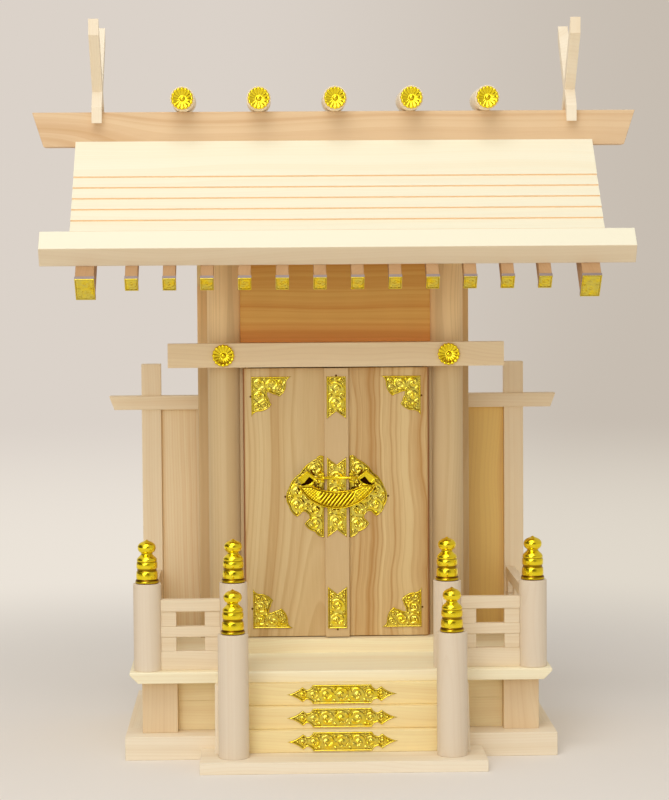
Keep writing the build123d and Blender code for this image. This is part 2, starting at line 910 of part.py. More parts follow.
# Wings: a post, a rail mortised over it and a panel, on each side behind the body
wing_rail_top = wing_rail_low + wing_rail_height
wing_inner = rear_post_outer - wing_lap
wing_post_outer = wing_post_inner + wing_post_width
wing_post_y = (wing_post_front, wing_post_front + wing_post_thk)
save(
    board([
        (x, wing_post_y, (floor_level, wing_post_top))
        for x in both_sides(wing_post_inner, wing_post_outer)
    ]),
    "wing_posts",
)
with BuildPart() as wing_rails:
    for sign in (-1, 1):
        with BuildSketch(Plane.XZ.offset(-(rear_post_rear + wing_rail_thk))):
            with BuildLine():
                Polyline(
                    (sign * wing_inner, wing_rail_low),
                    (sign * (wing_rail_reach - wing_rail_slant), wing_rail_low),
                    (sign * wing_rail_reach, wing_rail_top),
                    (sign * wing_inner, wing_rail_top),
                    close=True,
                )
            make_face()
        extrude(amount=wing_rail_thk)
    for sign in (-1, 1):
        with Locations((
            sign * (wing_post_inner + wing_post_outer) / 2,
            sum(wing_post_y) / 2,
            (wing_rail_low + wing_rail_top) / 2,
        )):
            Box(wing_post_width, wing_post_thk, wing_rail_height, mode=Mode.SUBTRACT)
save(wing_rails, "wing_rails")
wing_panel_y = (
    wing_post_front + wing_panel_set_back,
    wing_post_front + wing_panel_set_back + wing_panel_thk,
)
save(
    board([
        (x, wing_panel_y, (floor_level, wing_rail_low))
        for x in both_sides(wing_inner, wing_post_inner)
    ]),
    "wing_panels",
)

# Door leaves with rounded heels and turned pins at both ends
for side, sign in (("left", -1), ("right", 1)):
    heel = opening_half - leaf_gap
    toe = meeting_gap / 2
    with BuildPart() as leaf:
        with BuildSketch(Plane.XY.offset(leaf_low)):
            with Locations((sign * (pivot_x + toe) / 2, pivot_y)):
                Rectangle(pivot_x - toe, leaf_thk)
            with Locations((sign * pivot_x, pivot_y)):
                Circle(leaf_thk / 2)
        extrude(amount=door_height)
        with BuildSketch(Plane.XY.offset(leaf_low - pin_length)):
            with Locations((sign * pivot_x, pivot_y)):
                Circle(pin_radius)
        extrude(amount=door_height + 2 * pin_length)
    save(leaf, f"leaf_{side}")

# Astragal on the left leaf, relieved where it laps the right one
half_strip = astragal_width / 2
save(
    board([
        (
            (-half_strip, 0),
            (leaf_front - astragal_thk, leaf_front),
            (leaf_low, leaf_high),
        ),
        (
            (0, half_strip),
            (leaf_front - astragal_thk, leaf_front - astragal_relief),
            (leaf_low, leaf_high),
        ),
    ]),
    "astragal",
)


def gilt_plate(corners, front):
    """A flat gilt plate from its corners in x and z, standing plate_thk proud of a face."""
    with BuildSketch(Plane.XZ.offset(-front)) as outline:
        with BuildLine():
            Polyline(*corners, close=True)
        make_face()
    extrude(outline.sketch, amount=plate_thk)


def scallops(place, swell, *points):
    """Arcs from point to point, bowed away from the plate's own origin, or towards it."""
    for (a, b), (c, d) in zip(points, points[1:]):
        middle = place((a + c) / 2 * (1 + swell), (b + d) / 2 * (1 + swell))
        ThreePointArc(place(a, b), middle, place(c, d))


def notched_corner(place, *half):
    """The scalloped notch across a corner: half its points, and the same across the diagonal."""
    for end, lobe, cusp, notch in (half, [point[::-1] for point in half]):
        scallops(place, plate_scallop, end, lobe)
        scallops(place, -plate_scallop, lobe, cusp, notch)


def corner_plate(sign, low):
    """An L-shaped plate for a leaf's outer corner, at its foot (low) or its head."""
    outer = sign * (opening_half - leaf_gap - corner_plate_edge)
    edge, inward = (leaf_low, 1) if low else (leaf_high, -1)
    foot = edge + inward * corner_plate_edge

    def place(a, b):
        return (outer - sign * a, foot + inward * b)

    arm_end = (corner_plate_arm, 0)
    with BuildSketch(Plane.XZ.offset(-leaf_front)) as outline:
        with BuildLine():
            Polyline(place(*arm_end[::-1]), place(0, 0), place(*arm_end))
            scallops(place, -plate_scallop, arm_end, corner_plate_end)
            scallops(place, -plate_scallop, arm_end[::-1], corner_plate_end[::-1])
            notched_corner(
                place, corner_plate_end, corner_plate_lobe, corner_plate_cusp,
                (corner_plate_notch, corner_plate_notch),
            )
        make_face()
    extrude(outline.sketch, amount=plate_thk)


def lock_plate(sign):
    """Half of the round plate behind the lock, beside the astragal, notched at its foot."""
    half = lock_plate_height / 2

    def above(a, b):
        return (sign * (lock_plate_inner + a), lock_plate_centre + b)

    def below(a, b):
        return above(a, -b)

    side_below = (lock_plate_side[0], -lock_plate_side[1])
    with BuildSketch(Plane.XZ.offset(-leaf_front)) as outline:
        with BuildLine():
            Line(above(0, half), below(0, half))
            scallops(
                above, plate_scallop, (0, half),
                (lock_plate_shoulder, half - lock_plate_shoulder_drop),
                (lock_plate_cusp, lock_plate_cusp), lock_plate_side,
            )
            widest = lock_plate_outer - lock_plate_inner
            ThreePointArc(above(*lock_plate_side), above(widest, 0), above(*side_below))
            notched_corner(
                below, lock_plate_side, lock_plate_lobe, lock_plate_inner_cusp,
                (lock_plate_notch, lock_plate_notch),
            )
            scallops(below, plate_scallop, lock_plate_side[::-1], (0, half))
        make_face()
    extrude(outline.sketch, amount=plate_thk)


# Corner plates and lock plates, one piece of work for each leaf
for side, sign in (("left", -1), ("right", 1)):
    with BuildPart() as fittings:
        corner_plate(sign, low=True)
        corner_plate(sign, low=False)
        lock_plate(sign)
    save(fittings, f"leaf_fittings_{side}")

# Strips on the astragal: notched ends point to the middle of the door
strip_front = leaf_front - astragal_thk
strip_half = edge_strip_width / 2
with BuildPart() as astragal_strips:
    for edge, inward in ((leaf_low + corner_plate_edge, 1), (leaf_high - corner_plate_edge, -1)):
        gilt_plate(
            [
                (-strip_half, edge),
                (strip_half, edge),
                (strip_half, edge + inward * edge_strip_length),
                (0, edge + inward * (edge_strip_length - strip_notch)),
                (-strip_half, edge + inward * edge_strip_length),
            ],
            strip_front,
        )
    centre_low = lock_plate_centre - centre_strip_length / 2
    centre_high = lock_plate_centre + centre_strip_length / 2
    gilt_plate(
        [
            (-strip_half, centre_low),
            (0, centre_low + strip_notch),
            (strip_half, centre_low),
            (strip_half, centre_high),
            (0, centre_high - strip_notch),
            (-strip_half, centre_high),
        ],
        strip_front,
    )
save(astragal_strips, "astragal_strips")

# Forked brackets: a prong above and one below the lock's rod, on each lock plate
rod_z = lock_plate_centre + rod_rise
rod_y = strip_front - plate_thk - strip_clear - rod_radius
prong_rear = leaf_front - plate_thk
for side, sign in (("left", -1), ("right", 1)):
    prong_x = sorted((sign * fork_inner, sign * (fork_inner + fork_width)))
    near_rod = rod_radius + pin_clear
    save(
        board([
            (prong_x, (rod_y, prong_rear), (rod_z + near_rod, rod_z + near_rod + fork_prong)),
            (prong_x, (rod_y, prong_rear), (rod_z - near_rod - fork_prong, rod_z - near_rod)),
        ]),
        f"lock_fork_{side}",
    )

# Lock rod, from one end piece to the other
with BuildPart() as lock_rod:
    with BuildSketch(Plane.YZ.offset(-lock_end_inner)):
        with Locations((rod_y, rod_z)):
            Circle(rod_radius)
    extrude(amount=2 * lock_end_inner)
save(lock_rod, "lock_rod")

# Lock ends: upright lozenges on the rod's ends, standing on the tips of the body
lock_rear = strip_front - plate_thk - strip_clear
lock_end_mid = (lock_end_inner + lock_half) / 2
lock_end_half = (lock_half - lock_end_inner) / 2
tip_z = lock_plate_centre + lock_tip_rise
with BuildPart() as lock_ends:
    with BuildSketch(Plane.XZ.offset(-lock_rear)):
        for sign in (-1, 1):
            with BuildLine():
                Polyline(
                    (sign * (lock_end_mid - lock_end_half), rod_z),
                    (sign * lock_end_mid, rod_z + lock_end_height / 2),
                    (sign * (lock_end_mid + lock_end_half), rod_z),
                    (sign * (lock_end_mid + lock_end_half / 2), tip_z),
                    (sign * (lock_end_mid - lock_end_half / 2), tip_z),
                    close=True,
                )
            make_face()
    extrude(amount=lock_thk)
save(lock_ends, "lock_ends")

# Lock body: a crescent bowed downward
with BuildPart() as lock_body:
    with BuildSketch(Plane.XZ.offset(-lock_rear)):
        with BuildLine():
            bow = ThreePointArc(
                (-lock_half, tip_z),
                (0, lock_plate_centre + lock_bow_low),
                (lock_half, tip_z),
            )
            inner_tip = lock_end_mid - lock_end_half / 2
            Line(bow @ 1, (inner_tip, tip_z))
            ThreePointArc(
                (inner_tip, tip_z),
                (0, lock_plate_centre + lock_bow_high),
                (-inner_tip, tip_z),
            )
            Line((-inner_tip, tip_z), bow @ 0)
        make_face()
    extrude(amount=lock_thk)
save(lock_body, "lock_body")


def step_plate(middle, front):
    """A pointed plate on a step's front: straight edges, a neck and a lobe at each end."""
    shoulder = (step_plate_straight, step_plate_height / 2)
    tip = (step_plate_half, 0)
    with BuildSketch(Plane.XZ.offset(-front)) as outline:
        with BuildLine():
            for up in (-1, 1):
                for side in (-1, 1):
                    def place(a, b):
                        return (side * a, middle + up * b)

                    scallops(place, -plate_scallop, shoulder, step_plate_neck)
                    Line(place(*step_plate_neck), place(*step_plate_lobe))
                    scallops(place, -plate_scallop, step_plate_lobe, tip)
                Line(
                    (-step_plate_straight, middle + up * step_plate_height / 2),
                    (step_plate_straight, middle + up * step_plate_height / 2),
                )
        make_face()
    extrude(outline.sketch, amount=plate_thk)


# Pointed gilt fittings on the fronts of the steps
with BuildPart() as step_plates:
    for number in range(step_count):
        nose = sill_front - bottom_step_depth + number * step_run
        step_plate(base_board_thk + (number + 0.5) * step_rise, nose)
save(step_plates, "step_plates")
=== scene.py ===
"""Kamidana of plain cypress with gilt fittings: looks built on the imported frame."""

import math

import bmesh
import bpy
import numpy as np
from mathutils import Matrix, Vector
from mathutils.geometry import delaunay_2d_cdt


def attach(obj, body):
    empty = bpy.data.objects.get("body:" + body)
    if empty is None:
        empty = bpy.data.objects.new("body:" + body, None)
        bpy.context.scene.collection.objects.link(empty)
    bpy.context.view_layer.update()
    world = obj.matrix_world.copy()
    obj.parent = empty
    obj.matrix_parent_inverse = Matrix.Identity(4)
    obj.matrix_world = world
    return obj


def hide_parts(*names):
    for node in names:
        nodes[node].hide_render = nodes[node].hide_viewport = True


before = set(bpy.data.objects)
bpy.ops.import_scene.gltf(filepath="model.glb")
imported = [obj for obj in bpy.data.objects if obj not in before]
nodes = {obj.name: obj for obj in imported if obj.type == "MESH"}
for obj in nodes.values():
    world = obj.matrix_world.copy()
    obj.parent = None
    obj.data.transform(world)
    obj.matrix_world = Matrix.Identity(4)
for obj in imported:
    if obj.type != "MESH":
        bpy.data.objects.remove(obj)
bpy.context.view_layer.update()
MM = 0.001

# Camera: it stands 1.6 m in front of the shrine at the height of its eave, turned a little to
# the right and down, by angles in radians. The lens is the one that the shrine's edges fit.
eye = Vector((-47.05, -1584.3, 324.6)) * MM
turn_right, tip_down, lean = 0.0287, 0.0617, 0.0068
level_side = Vector((math.cos(turn_right), -math.sin(turn_right), 0))
level_ahead = Vector((math.sin(turn_right), math.cos(turn_right), 0))
ahead = level_ahead * math.cos(tip_down) - Vector((0, 0, math.sin(tip_down)))
above = Vector((0, 0, math.cos(tip_down))) + level_ahead * math.sin(tip_down)
side = level_side * math.cos(lean) - above * math.sin(lean)
above = above * math.cos(lean) + level_side * math.sin(lean)
camera = bpy.data.objects.new("camera", bpy.data.cameras.new("camera"))
camera.data.lens = 108
camera.data.sensor_width = 36
camera.data.clip_end = 60
camera.matrix_world = Matrix((
    (side.x, above.x, -ahead.x, eye.x),
    (side.y, above.y, -ahead.y, eye.y),
    (side.z, above.z, -ahead.z, eye.z),
    (0, 0, 0, 1),
))
bpy.context.collection.objects.link(camera)
bpy.context.scene.camera = camera
bpy.context.scene.view_settings.view_transform = "Standard"

# Studio: a pale floor that runs back into an even warm grey, lighter low on the left and dimmer
# to the right. A broad soft lamp hangs over the front of the shrine, and a weaker one stands by
# the camera. Only in the gilding's reflections is the room dim low down and far left, with a
# bright screen: a painted reflection that lights nothing.


class Wire:
    """A shader socket that takes part in arithmetic; the node tree is behind it."""

    def __init__(self, tree, socket=None):
        self.tree = tree
        self.socket = socket

    def node(self, kind, settings=None, out=0, **sockets):
        """A node of any kind: settings first, then values or wires into its sockets."""
        made = self.tree.nodes.new(kind)
        for key, value in (settings or {}).items():
            setattr(made, key, value)
        for key, value in sockets.items():
            index = int(key[1:]) if key[0] == "_" else key.replace("_", " ")
            if isinstance(value, Wire):
                self.tree.links.new(value.socket, made.inputs[index])
            else:
                made.inputs[index].default_value = value
        return Wire(self.tree, made.outputs[out]) if made.outputs else None

    def sum(self, operation, *others, clamp=False):
        terms = {f"_{n}": term for n, term in enumerate((self, *others))}
        return self.node("ShaderNodeMath", {"operation": operation, "use_clamp": clamp}, **terms)

    def __add__(self, other):
        return self.sum("ADD", other)

    def __sub__(self, other):
        return self.sum("SUBTRACT", other)

    def __rsub__(self, other):
        return (self * -1).sum("ADD", other)

    def __mul__(self, other):
        return self.sum("MULTIPLY", other)

    def __truediv__(self, other):
        return self.sum("DIVIDE", other)

    def __pow__(self, other):
        return self.sum("POWER", other)

    __radd__ = __add__
    __rmul__ = __mul__

    def split(self):
        parts = self.node("ShaderNodeSeparateXYZ", _0=self)
        return [Wire(self.tree, output) for output in parts.socket.node.outputs]

    def join(self, x, y, z):
        return self.node("ShaderNodeCombineXYZ", _0=x, _1=y, _2=z)

    def place(self):
        """Where a point is on its own piece, in mm."""
        spot = self.node("ShaderNodeTexCoord", out=3)
        return self.node("ShaderNodeVectorMath", {"operation": "SCALE"}, _0=spot, Scale=1000)

    def noise(self, place, scale, detail=2.0, rough=0.5):
        return self.node(
            "ShaderNodeTexNoise", {"noise_dimensions": "3D"},
            Vector=place, Scale=scale, Detail=detail, Roughness=rough,
        )

    def blend(self, share, first, second):
        """A colour between two, each a wire or a plain colour."""
        return self.node(
            "ShaderNodeMix", {"data_type": "RGBA"}, out=2, _0=share, _6=first, _7=second
        )

    def ease(self, low, high):
        """0 below low, 1 above high, smooth between."""
        return self.node(
            "ShaderNodeMapRange", {"interpolation_type": "SMOOTHSTEP"},
            Value=self, From_Min=low, From_Max=high,
        )


def paint(red, green, blue):
    """A colour as a screen shows it, 0 to 255, made linear."""
    shares = [value / 255 for value in (red, green, blue)]
    linear = [s / 12.92 if s <= 0.04045 else ((s + 0.055) / 1.055) ** 2.4 for s in shares]
    return (*linear, 1.0)


def new_material(name):
    """A material with an empty tree, and a wire in that tree."""
    material = bpy.data.materials.new(name)
    material.use_nodes = True
    material.node_tree.nodes.clear()
    return material, Wire(material.node_tree)


floor_tone = paint(238, 231, 222)
left_tone = paint(219, 210, 201)
right_tone = paint(199, 189, 177)
low_left_tone = paint(235, 227, 216)
low_right_tone = paint(224, 216, 203)
dim_room_tone = paint(64, 52, 40)
screen_light = (2.6, 2.5, 2.3, 1.0)
room_light = (1.0, 0.985, 0.96, 1.0)
room_strength = 0.56
dims_from, dims_to = -0.03, 0.18
paper_ends, backdrop_starts = 0.38, 0.85
rise_starts, rise_ends = 0.9, 3.2
bpy.ops.mesh.primitive_circle_add(vertices=96, radius=40, fill_type="NGON")
floor = bpy.context.object
floor.name = "floor"
floor_material, wire = new_material("floor_paper")
spot_x, spot_y = wire.node("ShaderNodeNewGeometry").split()[:2]
reach = (spot_x ** 2 + spot_y ** 2) ** 0.5
shade = (spot_x / (reach + 0.4)).ease(dims_from, dims_to)
far_tone = wire.blend(shade, left_tone, right_tone)
low_tone = wire.blend(shade, low_left_tone, low_right_tone)
paper = wire.node("ShaderNodeBsdfDiffuse", Color=floor_tone)
glow_tone = wire.blend(reach.ease(rise_starts, rise_ends), low_tone, far_tone)
glow = wire.node("ShaderNodeEmission", Color=glow_tone, Strength=1.0)
to_glow = reach.ease(paper_ends, backdrop_starts)
surface = wire.node("ShaderNodeMixShader", Fac=to_glow, _1=paper, _2=glow)
wire.node("ShaderNodeOutputMaterial", Surface=surface)
floor.data.materials.append(floor_material)

world = bpy.data.worlds.new("studio")
world.use_nodes = True
world.node_tree.nodes.clear()
wire = Wire(world.node_tree)
path = wire.node("ShaderNodeLightPath").socket.node.outputs
seen = Wire(wire.tree, path["Is Camera Ray"])
for kind in ("Is Glossy Ray", "Is Transmission Ray"):
    seen = seen.sum("MAXIMUM", Wire(wire.tree, path[kind]))
toward_x, toward_y, toward_z = wire.node("ShaderNodeTexCoord").split()
backdrop_tone = wire.blend(toward_x.ease(dims_from, dims_to), left_tone, right_tone)
mirrored = Wire(wire.tree, path["Is Glossy Ray"])
behind = (toward_x * -0.45 - toward_y * 0.9).ease(0.25, 0.8)
low_behind = behind * (1 - toward_z.ease(0.22, 0.5))
far_left = (toward_x * -1).ease(0.6, 0.88)
dusk = low_behind.sum("MAXIMUM", far_left) * mirrored
dim_tone = wire.blend(dusk * 0.9, backdrop_tone, dim_room_tone)
toward_screen = toward_x * -0.5 - toward_y * 0.83 + toward_z * 0.25
screen = toward_screen.ease(0.955, 0.985) * mirrored
shown_tone = wire.blend(screen, dim_tone, screen_light)
backdrop = wire.node("ShaderNodeBackground", Color=shown_tone, Strength=1.0)
room = wire.node("ShaderNodeBackground", Color=room_light, Strength=room_strength)
surface = wire.node("ShaderNodeMixShader", Fac=seen, _1=room, _2=backdrop)
wire.node("ShaderNodeOutputWorld", Surface=surface)
bpy.context.scene.world = world

lamp_aim = Vector((0, 0, 0.22))
for name, spot, width, watts in (
    ("lamp_above", (-0.25, -0.95, 1.6), 1.35, 11.3),
    ("lamp_front", (-0.6, -2.0, 0.8), 0.9, 7.0),
):
    lamp = bpy.data.objects.new(name, bpy.data.lights.new(name, "AREA"))
    lamp.data.shape = "DISK"
    lamp.data.size = width
    lamp.data.energy = watts
    lamp.location = spot
    lamp.rotation_euler = (lamp_aim - lamp.location).to_track_quat("-Z", "Y").to_euler()
    bpy.context.collection.objects.link(lamp)

# Base board under the stairs: a square-edged strip of planed cypress with its grain from side to
# side. All the wood of the shrine is cypress left bare, its arrises just broken with a plane.
edge_angle = math.radians(28)
flat_angle = math.radians(0.4)


def cypress(
    name, pale, dark, along, heart, ring=1.9, figure=0.5, flame=1.0, sway=0.004,
    crook=None, facing=None, turning=None,
):
    """Planed cypress. Along is the grain's axis, heart the place of the pith across it and ring
    the width of a year, in mm. Figure is how strong the lines are, flame how far they wander
    and sway how often. A crook (low, high, amount) bends the pith, facing (direction, low,
    high, colour) gives another colour, as painted light and shade, to the faces that look in a
    direction, and turning (axis, low, high, colour) to the pale wood from low to high along x, y
    or z."""
    material, wire = new_material(name)
    axes = wire.place().split()
    order = {"x": (2, 1, 0), "y": (0, 2, 1), "z": (0, 1, 2)}[along]
    across, deep, length = (axes[n] for n in order)
    slow = wire.join(across * 0.012, deep * 0.012, length * sway)
    wander_reach = 26 * flame
    wander = (wire.noise(slow, 1.0, 2.0) - 0.5) * wander_reach
    from_heart = across + wander - heart[0]
    from_side = deep - heart[1] + wander * 0.6
    if crook:
        low, high, amount = crook
        from_side = from_side + length.ease(low, high) * amount
    radius = (from_heart ** 2 + from_side ** 2) ** 0.5
    band = wire.noise(wire.join(radius * 0.11, length * 0.0006, 0.0), 1.0, 3.0)
    year = (radius / ring + band * 3).sum("FRACT")
    late = year.ease(0.45, 0.93) * (1 - year.ease(0.94, 1.0))
    fibre = wire.noise(wire.join(across * 2.2, deep * 2.2, length * 0.05), 1.0, 2.0, 0.6)
    line_share, band_share, fibre_share = 0.26 * figure, 0.62 * figure, 0.4 * figure
    share = late * line_share + band.ease(0.38, 0.68) * band_share
    share = share.sum("ADD", (fibre - 0.5) * fibre_share, clamp=True)
    if turning:
        axis, low, high, other = turning
        pale = wire.blend(axes["xyz".index(axis)].ease(low, high), pale, other)
    colour = wire.blend(share, pale, dark)
    if facing:
        direction, low, high, other = facing
        normal = wire.node("ShaderNodeTexCoord", out=1).split()
        toward = sum(part * amount for part, amount in zip(normal, direction))
        colour = wire.blend(toward.ease(low, high), colour, other)
    bump = wire.node(
        "ShaderNodeBump", Strength=0.12, Distance=0.0002, Height=late * 0.5 + fibre
    )
    surface = wire.node(
        "ShaderNodeBsdfPrincipled", Base_Color=colour, Roughness=0.5 + fibre * 0.16,
        Normal=bump, Specular_IOR_Level=0.3,
    )
    wire.node("ShaderNodeOutputMaterial", Surface=surface)
    return material


def dress(material, *names, arris=0.35):
    """Gives CAD nodes their wood, with the edges lightly broken."""
    for name in names:
        piece = nodes[name]
        piece.data.materials.clear()
        piece.data.materials.append(material)
        piece.modifiers.new("merged", "WELD").merge_threshold = 1e-6
        flat = piece.modifiers.new("flat faces", "DECIMATE")
        flat.decimate_type = "DISSOLVE"
        flat.angle_limit = flat_angle
        eased = piece.modifiers.new("broken edges", "BEVEL")
        eased.width = arris * MM
        eased.segments = 2
        eased.limit_method = "ANGLE"
        eased.angle_limit = edge_angle
        piece.modifiers.new("shading", "WEIGHTED_NORMAL").weight = 100


cream = paint(246, 232, 206)
cream_line = paint(224, 196, 152)
dress(cypress("wood_base", cream, cream_line, "x", (60, -30)), "base_board")

# Sills: heavy square timbers under the plinth. The front and rear ones run through to the
# corners and the side ones fit between them.
dress(cypress("wood_sills", cream, cream_line, "x", (-60, -20)), "sill_front", "sill_rear")
dress(cypress("wood_side_sills", cream, cream_line, "y", (220, -60)), "sills_side")

# Plinth posts: four short square posts, stood on the sills at the corners with upright grain
# and housed under the platform.
body_pale = paint(234, 209, 170)
body_line = paint(210, 172, 122)
dress(cypress("wood_plinth_posts", body_pale, body_line, "z", (40, -140)), "plinth_posts")

# Plinth boards: on each side two thin boards, one on the other, let in between the posts. The
# joint between them shows as a fine line, because each board's edge is lightly rounded.


def solid_boxes(name):
    """The lowest and highest corner, in mm, of each solid of a CAD node."""
    mesh = bmesh.new()
    mesh.from_mesh(nodes[name].data)
    bmesh.ops.remove_doubles(mesh, verts=mesh.verts, dist=1e-6)
    waiting = set(mesh.verts)
    boxes = []
    while waiting:
        reached = [waiting.pop()]
        for vert in reached:
            for edge in vert.link_edges:
                other = edge.other_vert(vert)
                if other in waiting:
                    waiting.remove(other)
                    reached.append(other)
        spots = np.array([vert.co for vert in reached]) / MM
        boxes.append((spots.min(0), spots.max(0)))
    mesh.free()
    return sorted(boxes, key=lambda box: tuple(box[0]))


def hold(name, mesh, material, body, slot, *stands_for, smooth=True):
    """Ends a mesh as a named piece that rides a body and stands for CAD nodes."""
    bmesh.ops.recalc_face_normals(mesh, faces=mesh.faces)
    data = bpy.data.meshes.new(name)
    mesh.to_mesh(data)
    mesh.free()
    data.materials.append(material)
    if smooth:
        data.shade_smooth()
    else:
        data.shade_flat()
    piece = bpy.data.objects.new(name, data)
    bpy.context.collection.objects.link(piece)
    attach(piece, body)
    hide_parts(*stands_for)
    return piece


def block(mesh, low, high):
    """A square block from corner to corner, in mm."""
    made = bmesh.ops.create_cube(mesh, size=1.0)
    size = [(b - a) * MM for a, b in zip(low, high)]
    middle = [(a + b) / 2 * MM for a, b in zip(low, high)]
    bmesh.ops.scale(mesh, vec=size, verts=made["verts"])
    bmesh.ops.translate(mesh, vec=middle, verts=made["verts"])


def ease_edges(piece, width):
    """Rounds a piece's own sharp edges by a width in mm."""
    eased = piece.modifiers.new("rounded edges", "BEVEL")
    eased.width = width * MM
    eased.segments = 3
    eased.limit_method = "ANGLE"
    eased.angle_limit = edge_angle
    piece.modifiers.new("shading", "WEIGHTED_NORMAL").weight = 100


plinth_joint = 34.2
plinth_round = 0.35
plinth_pale = paint(249, 230, 182)
plinth_line = paint(230, 194, 138)
plinth_wood = cypress("wood_plinth_boards", plinth_pale, plinth_line, "x", (-50, -40))
mesh = bmesh.new()
for low, high in solid_boxes("plinth_boards"):
    block(mesh, low, (high[0], high[1], plinth_joint))
    block(mesh, (low[0], low[1], plinth_joint), high)
boards = hold("plinth_planks", mesh, plinth_wood, "shrine", "frame_wood", "plinth_boards")
ease_edges(boards, plinth_round)

# Steps and their strings: three solid treads lie one on the other, and a side board closes them
# at each end. The light catches the planed front edge of every tread.
step_pale = paint(250, 230, 172)
step_line = paint(226, 188, 124)
dress(
    cypress("wood_steps", step_pale, step_line, "x", (140, -20)),
    "step_1", "step_2", "step_3", arris=0.6,
)
dress(cypress("wood_strings", cream, cream_line, "y", (200, 30)), "stair_strings")

# Step plates: long pointed fittings of thin stamped brass, gilded, pinned to the front of each
# step. Scrolls stand up from a sunk ground inside a rounded border, and the creases are painted
# brown as painted shade.
stamped_gold = paint(230, 214, 84)
turned_gold = paint(255, 232, 44)
deep_gold = paint(252, 224, 24)
crease_shade_brown = paint(128, 82, 0)
crease_shade_black = paint(44, 18, 0)


def gilt(name, pale, worn=0.0, coat=0.5):
    """Thin brass with bright gilding under clear lacquer, painted brown to black by the crease
    attribute as painted shade. Worn is how uneven the gilding is, and coat how much lacquer lies
    on it."""
    material, wire = new_material(name)
    place = wire.place()
    crease = wire.node("ShaderNodeAttribute", {"attribute_name": "crease"}, out=2)
    cloud = wire.noise(place, 0.22, 3.0)
    gold = wire.blend(cloud.ease(0.35, 0.75), pale, deep_gold)
    # painted shade from the crease attribute, with uneven wear of the gilding added
    shade_and_wear = crease.sum("ADD", (cloud - 0.5) * worn, clamp=True)
    brown = wire.blend(shade_and_wear.ease(0.0, 0.8), gold, crease_shade_brown)
    colour = wire.blend(shade_and_wear.ease(0.72, 1.0), brown, crease_shade_black)
    punch = wire.node("ShaderNodeTexVoronoi", Vector=place, Scale=1.5)
    scuff = wire.noise(place, 1.8, 3.0)
    bump = wire.node(
        "ShaderNodeBump", Strength=0.35, Distance=0.0001, Height=scuff - punch * worn
    )
    surface = wire.node(
        "ShaderNodeBsdfPrincipled", Base_Color=colour, Metallic=1.0,
        Roughness=0.12 + shade_and_wear * 0.3 + cloud * 0.08, Normal=bump,
        Coat_Weight=(1 - shade_and_wear) * coat, Coat_Roughness=0.06,
    )
    wire.node("ShaderNodeOutputMaterial", Surface=surface)
    return material


plate_thk = 0.8
# Painted shade: how dark the deepest hollows, the plates' sides and their rims are painted, and
# the depth from which and the rate at which hollows darken.
deepest_crease, foot_crease, rim_crease = 0.8, 0.75, 0.3
crease_from, crease_gain = 0.02, 8
stamped_gilt = gilt("gilt_stamped", stamped_gold, worn=0.2, coat=0.55)
smooth_gilt = gilt("gilt_turned", turned_gold, coat=0.3)


def front_outlines(name, facing):
    """Outlines, in mm, of a CAD node's faces that look along facing, each in order."""
    mesh = bmesh.new()
    mesh.from_mesh(nodes[name].data)
    bmesh.ops.remove_doubles(mesh, verts=mesh.verts, dist=1e-6)
    mesh.normal_update()
    facing = Vector(facing)
    chosen = {face for face in mesh.faces if face.normal.dot(facing) > 0.95}
    follow = {}
    for face in chosen:
        for corner in face.loops:
            if not any(other is not face and other in chosen for other in corner.edge.link_faces):
                follow[corner.vert] = corner.link_loop_next.vert
    outlines = []
    while follow:
        vert = next(iter(follow))
        ring = []
        while vert in follow:
            ring.append(vert.co / MM)
            vert = follow.pop(vert)
        outlines.append(ring)
    mesh.free()
    return outlines


def edge_distance(points, outline):
    """How far each point lies from a closed outline."""
    runs = np.roll(outline, -1, axis=0) - outline
    gap = points[:, None] - outline[None]
    share = np.clip((gap * runs).sum(2) / (runs ** 2).sum(1), 0, 1)
    return np.linalg.norm(gap - share[..., None] * runs, axis=2).min(1)


def inside(points, outline):
    """Which points lie within a closed outline."""
    held = np.zeros(len(points), bool)
    for (ax, ay), (bx, by) in zip(outline, np.roll(outline, -1, axis=0)):
        if ay != by:
            level = (ay > points[:, 1]) != (by > points[:, 1])
            crossing = (bx - ax) * (points[:, 1] - ay) / (by - ay) + ax
            held ^= level & (points[:, 0] < crossing)
    return held


def fill(outline, spacing):
    """Evenly staggered points inside an outline."""
    low, high = outline.min(0), outline.max(0)
    rows = []
    for number, b in enumerate(np.arange(low[1], high[1], spacing * 0.87)):
        start = low[0] + spacing / 2 * (number % 2)
        row = np.arange(start, high[0], spacing)
        rows.append(np.column_stack([row, np.full(len(row), b)]))
    points = np.vstack(rows)
    points = points[inside(points, outline)]
    return points[edge_distance(points, outline) > 0.55 * spacing]


def crease_layer(mesh):
    """Where a mesh keeps how dark each of its points is."""
    layers = mesh.verts.layers.float
    return layers.get("crease") or layers.new("crease")


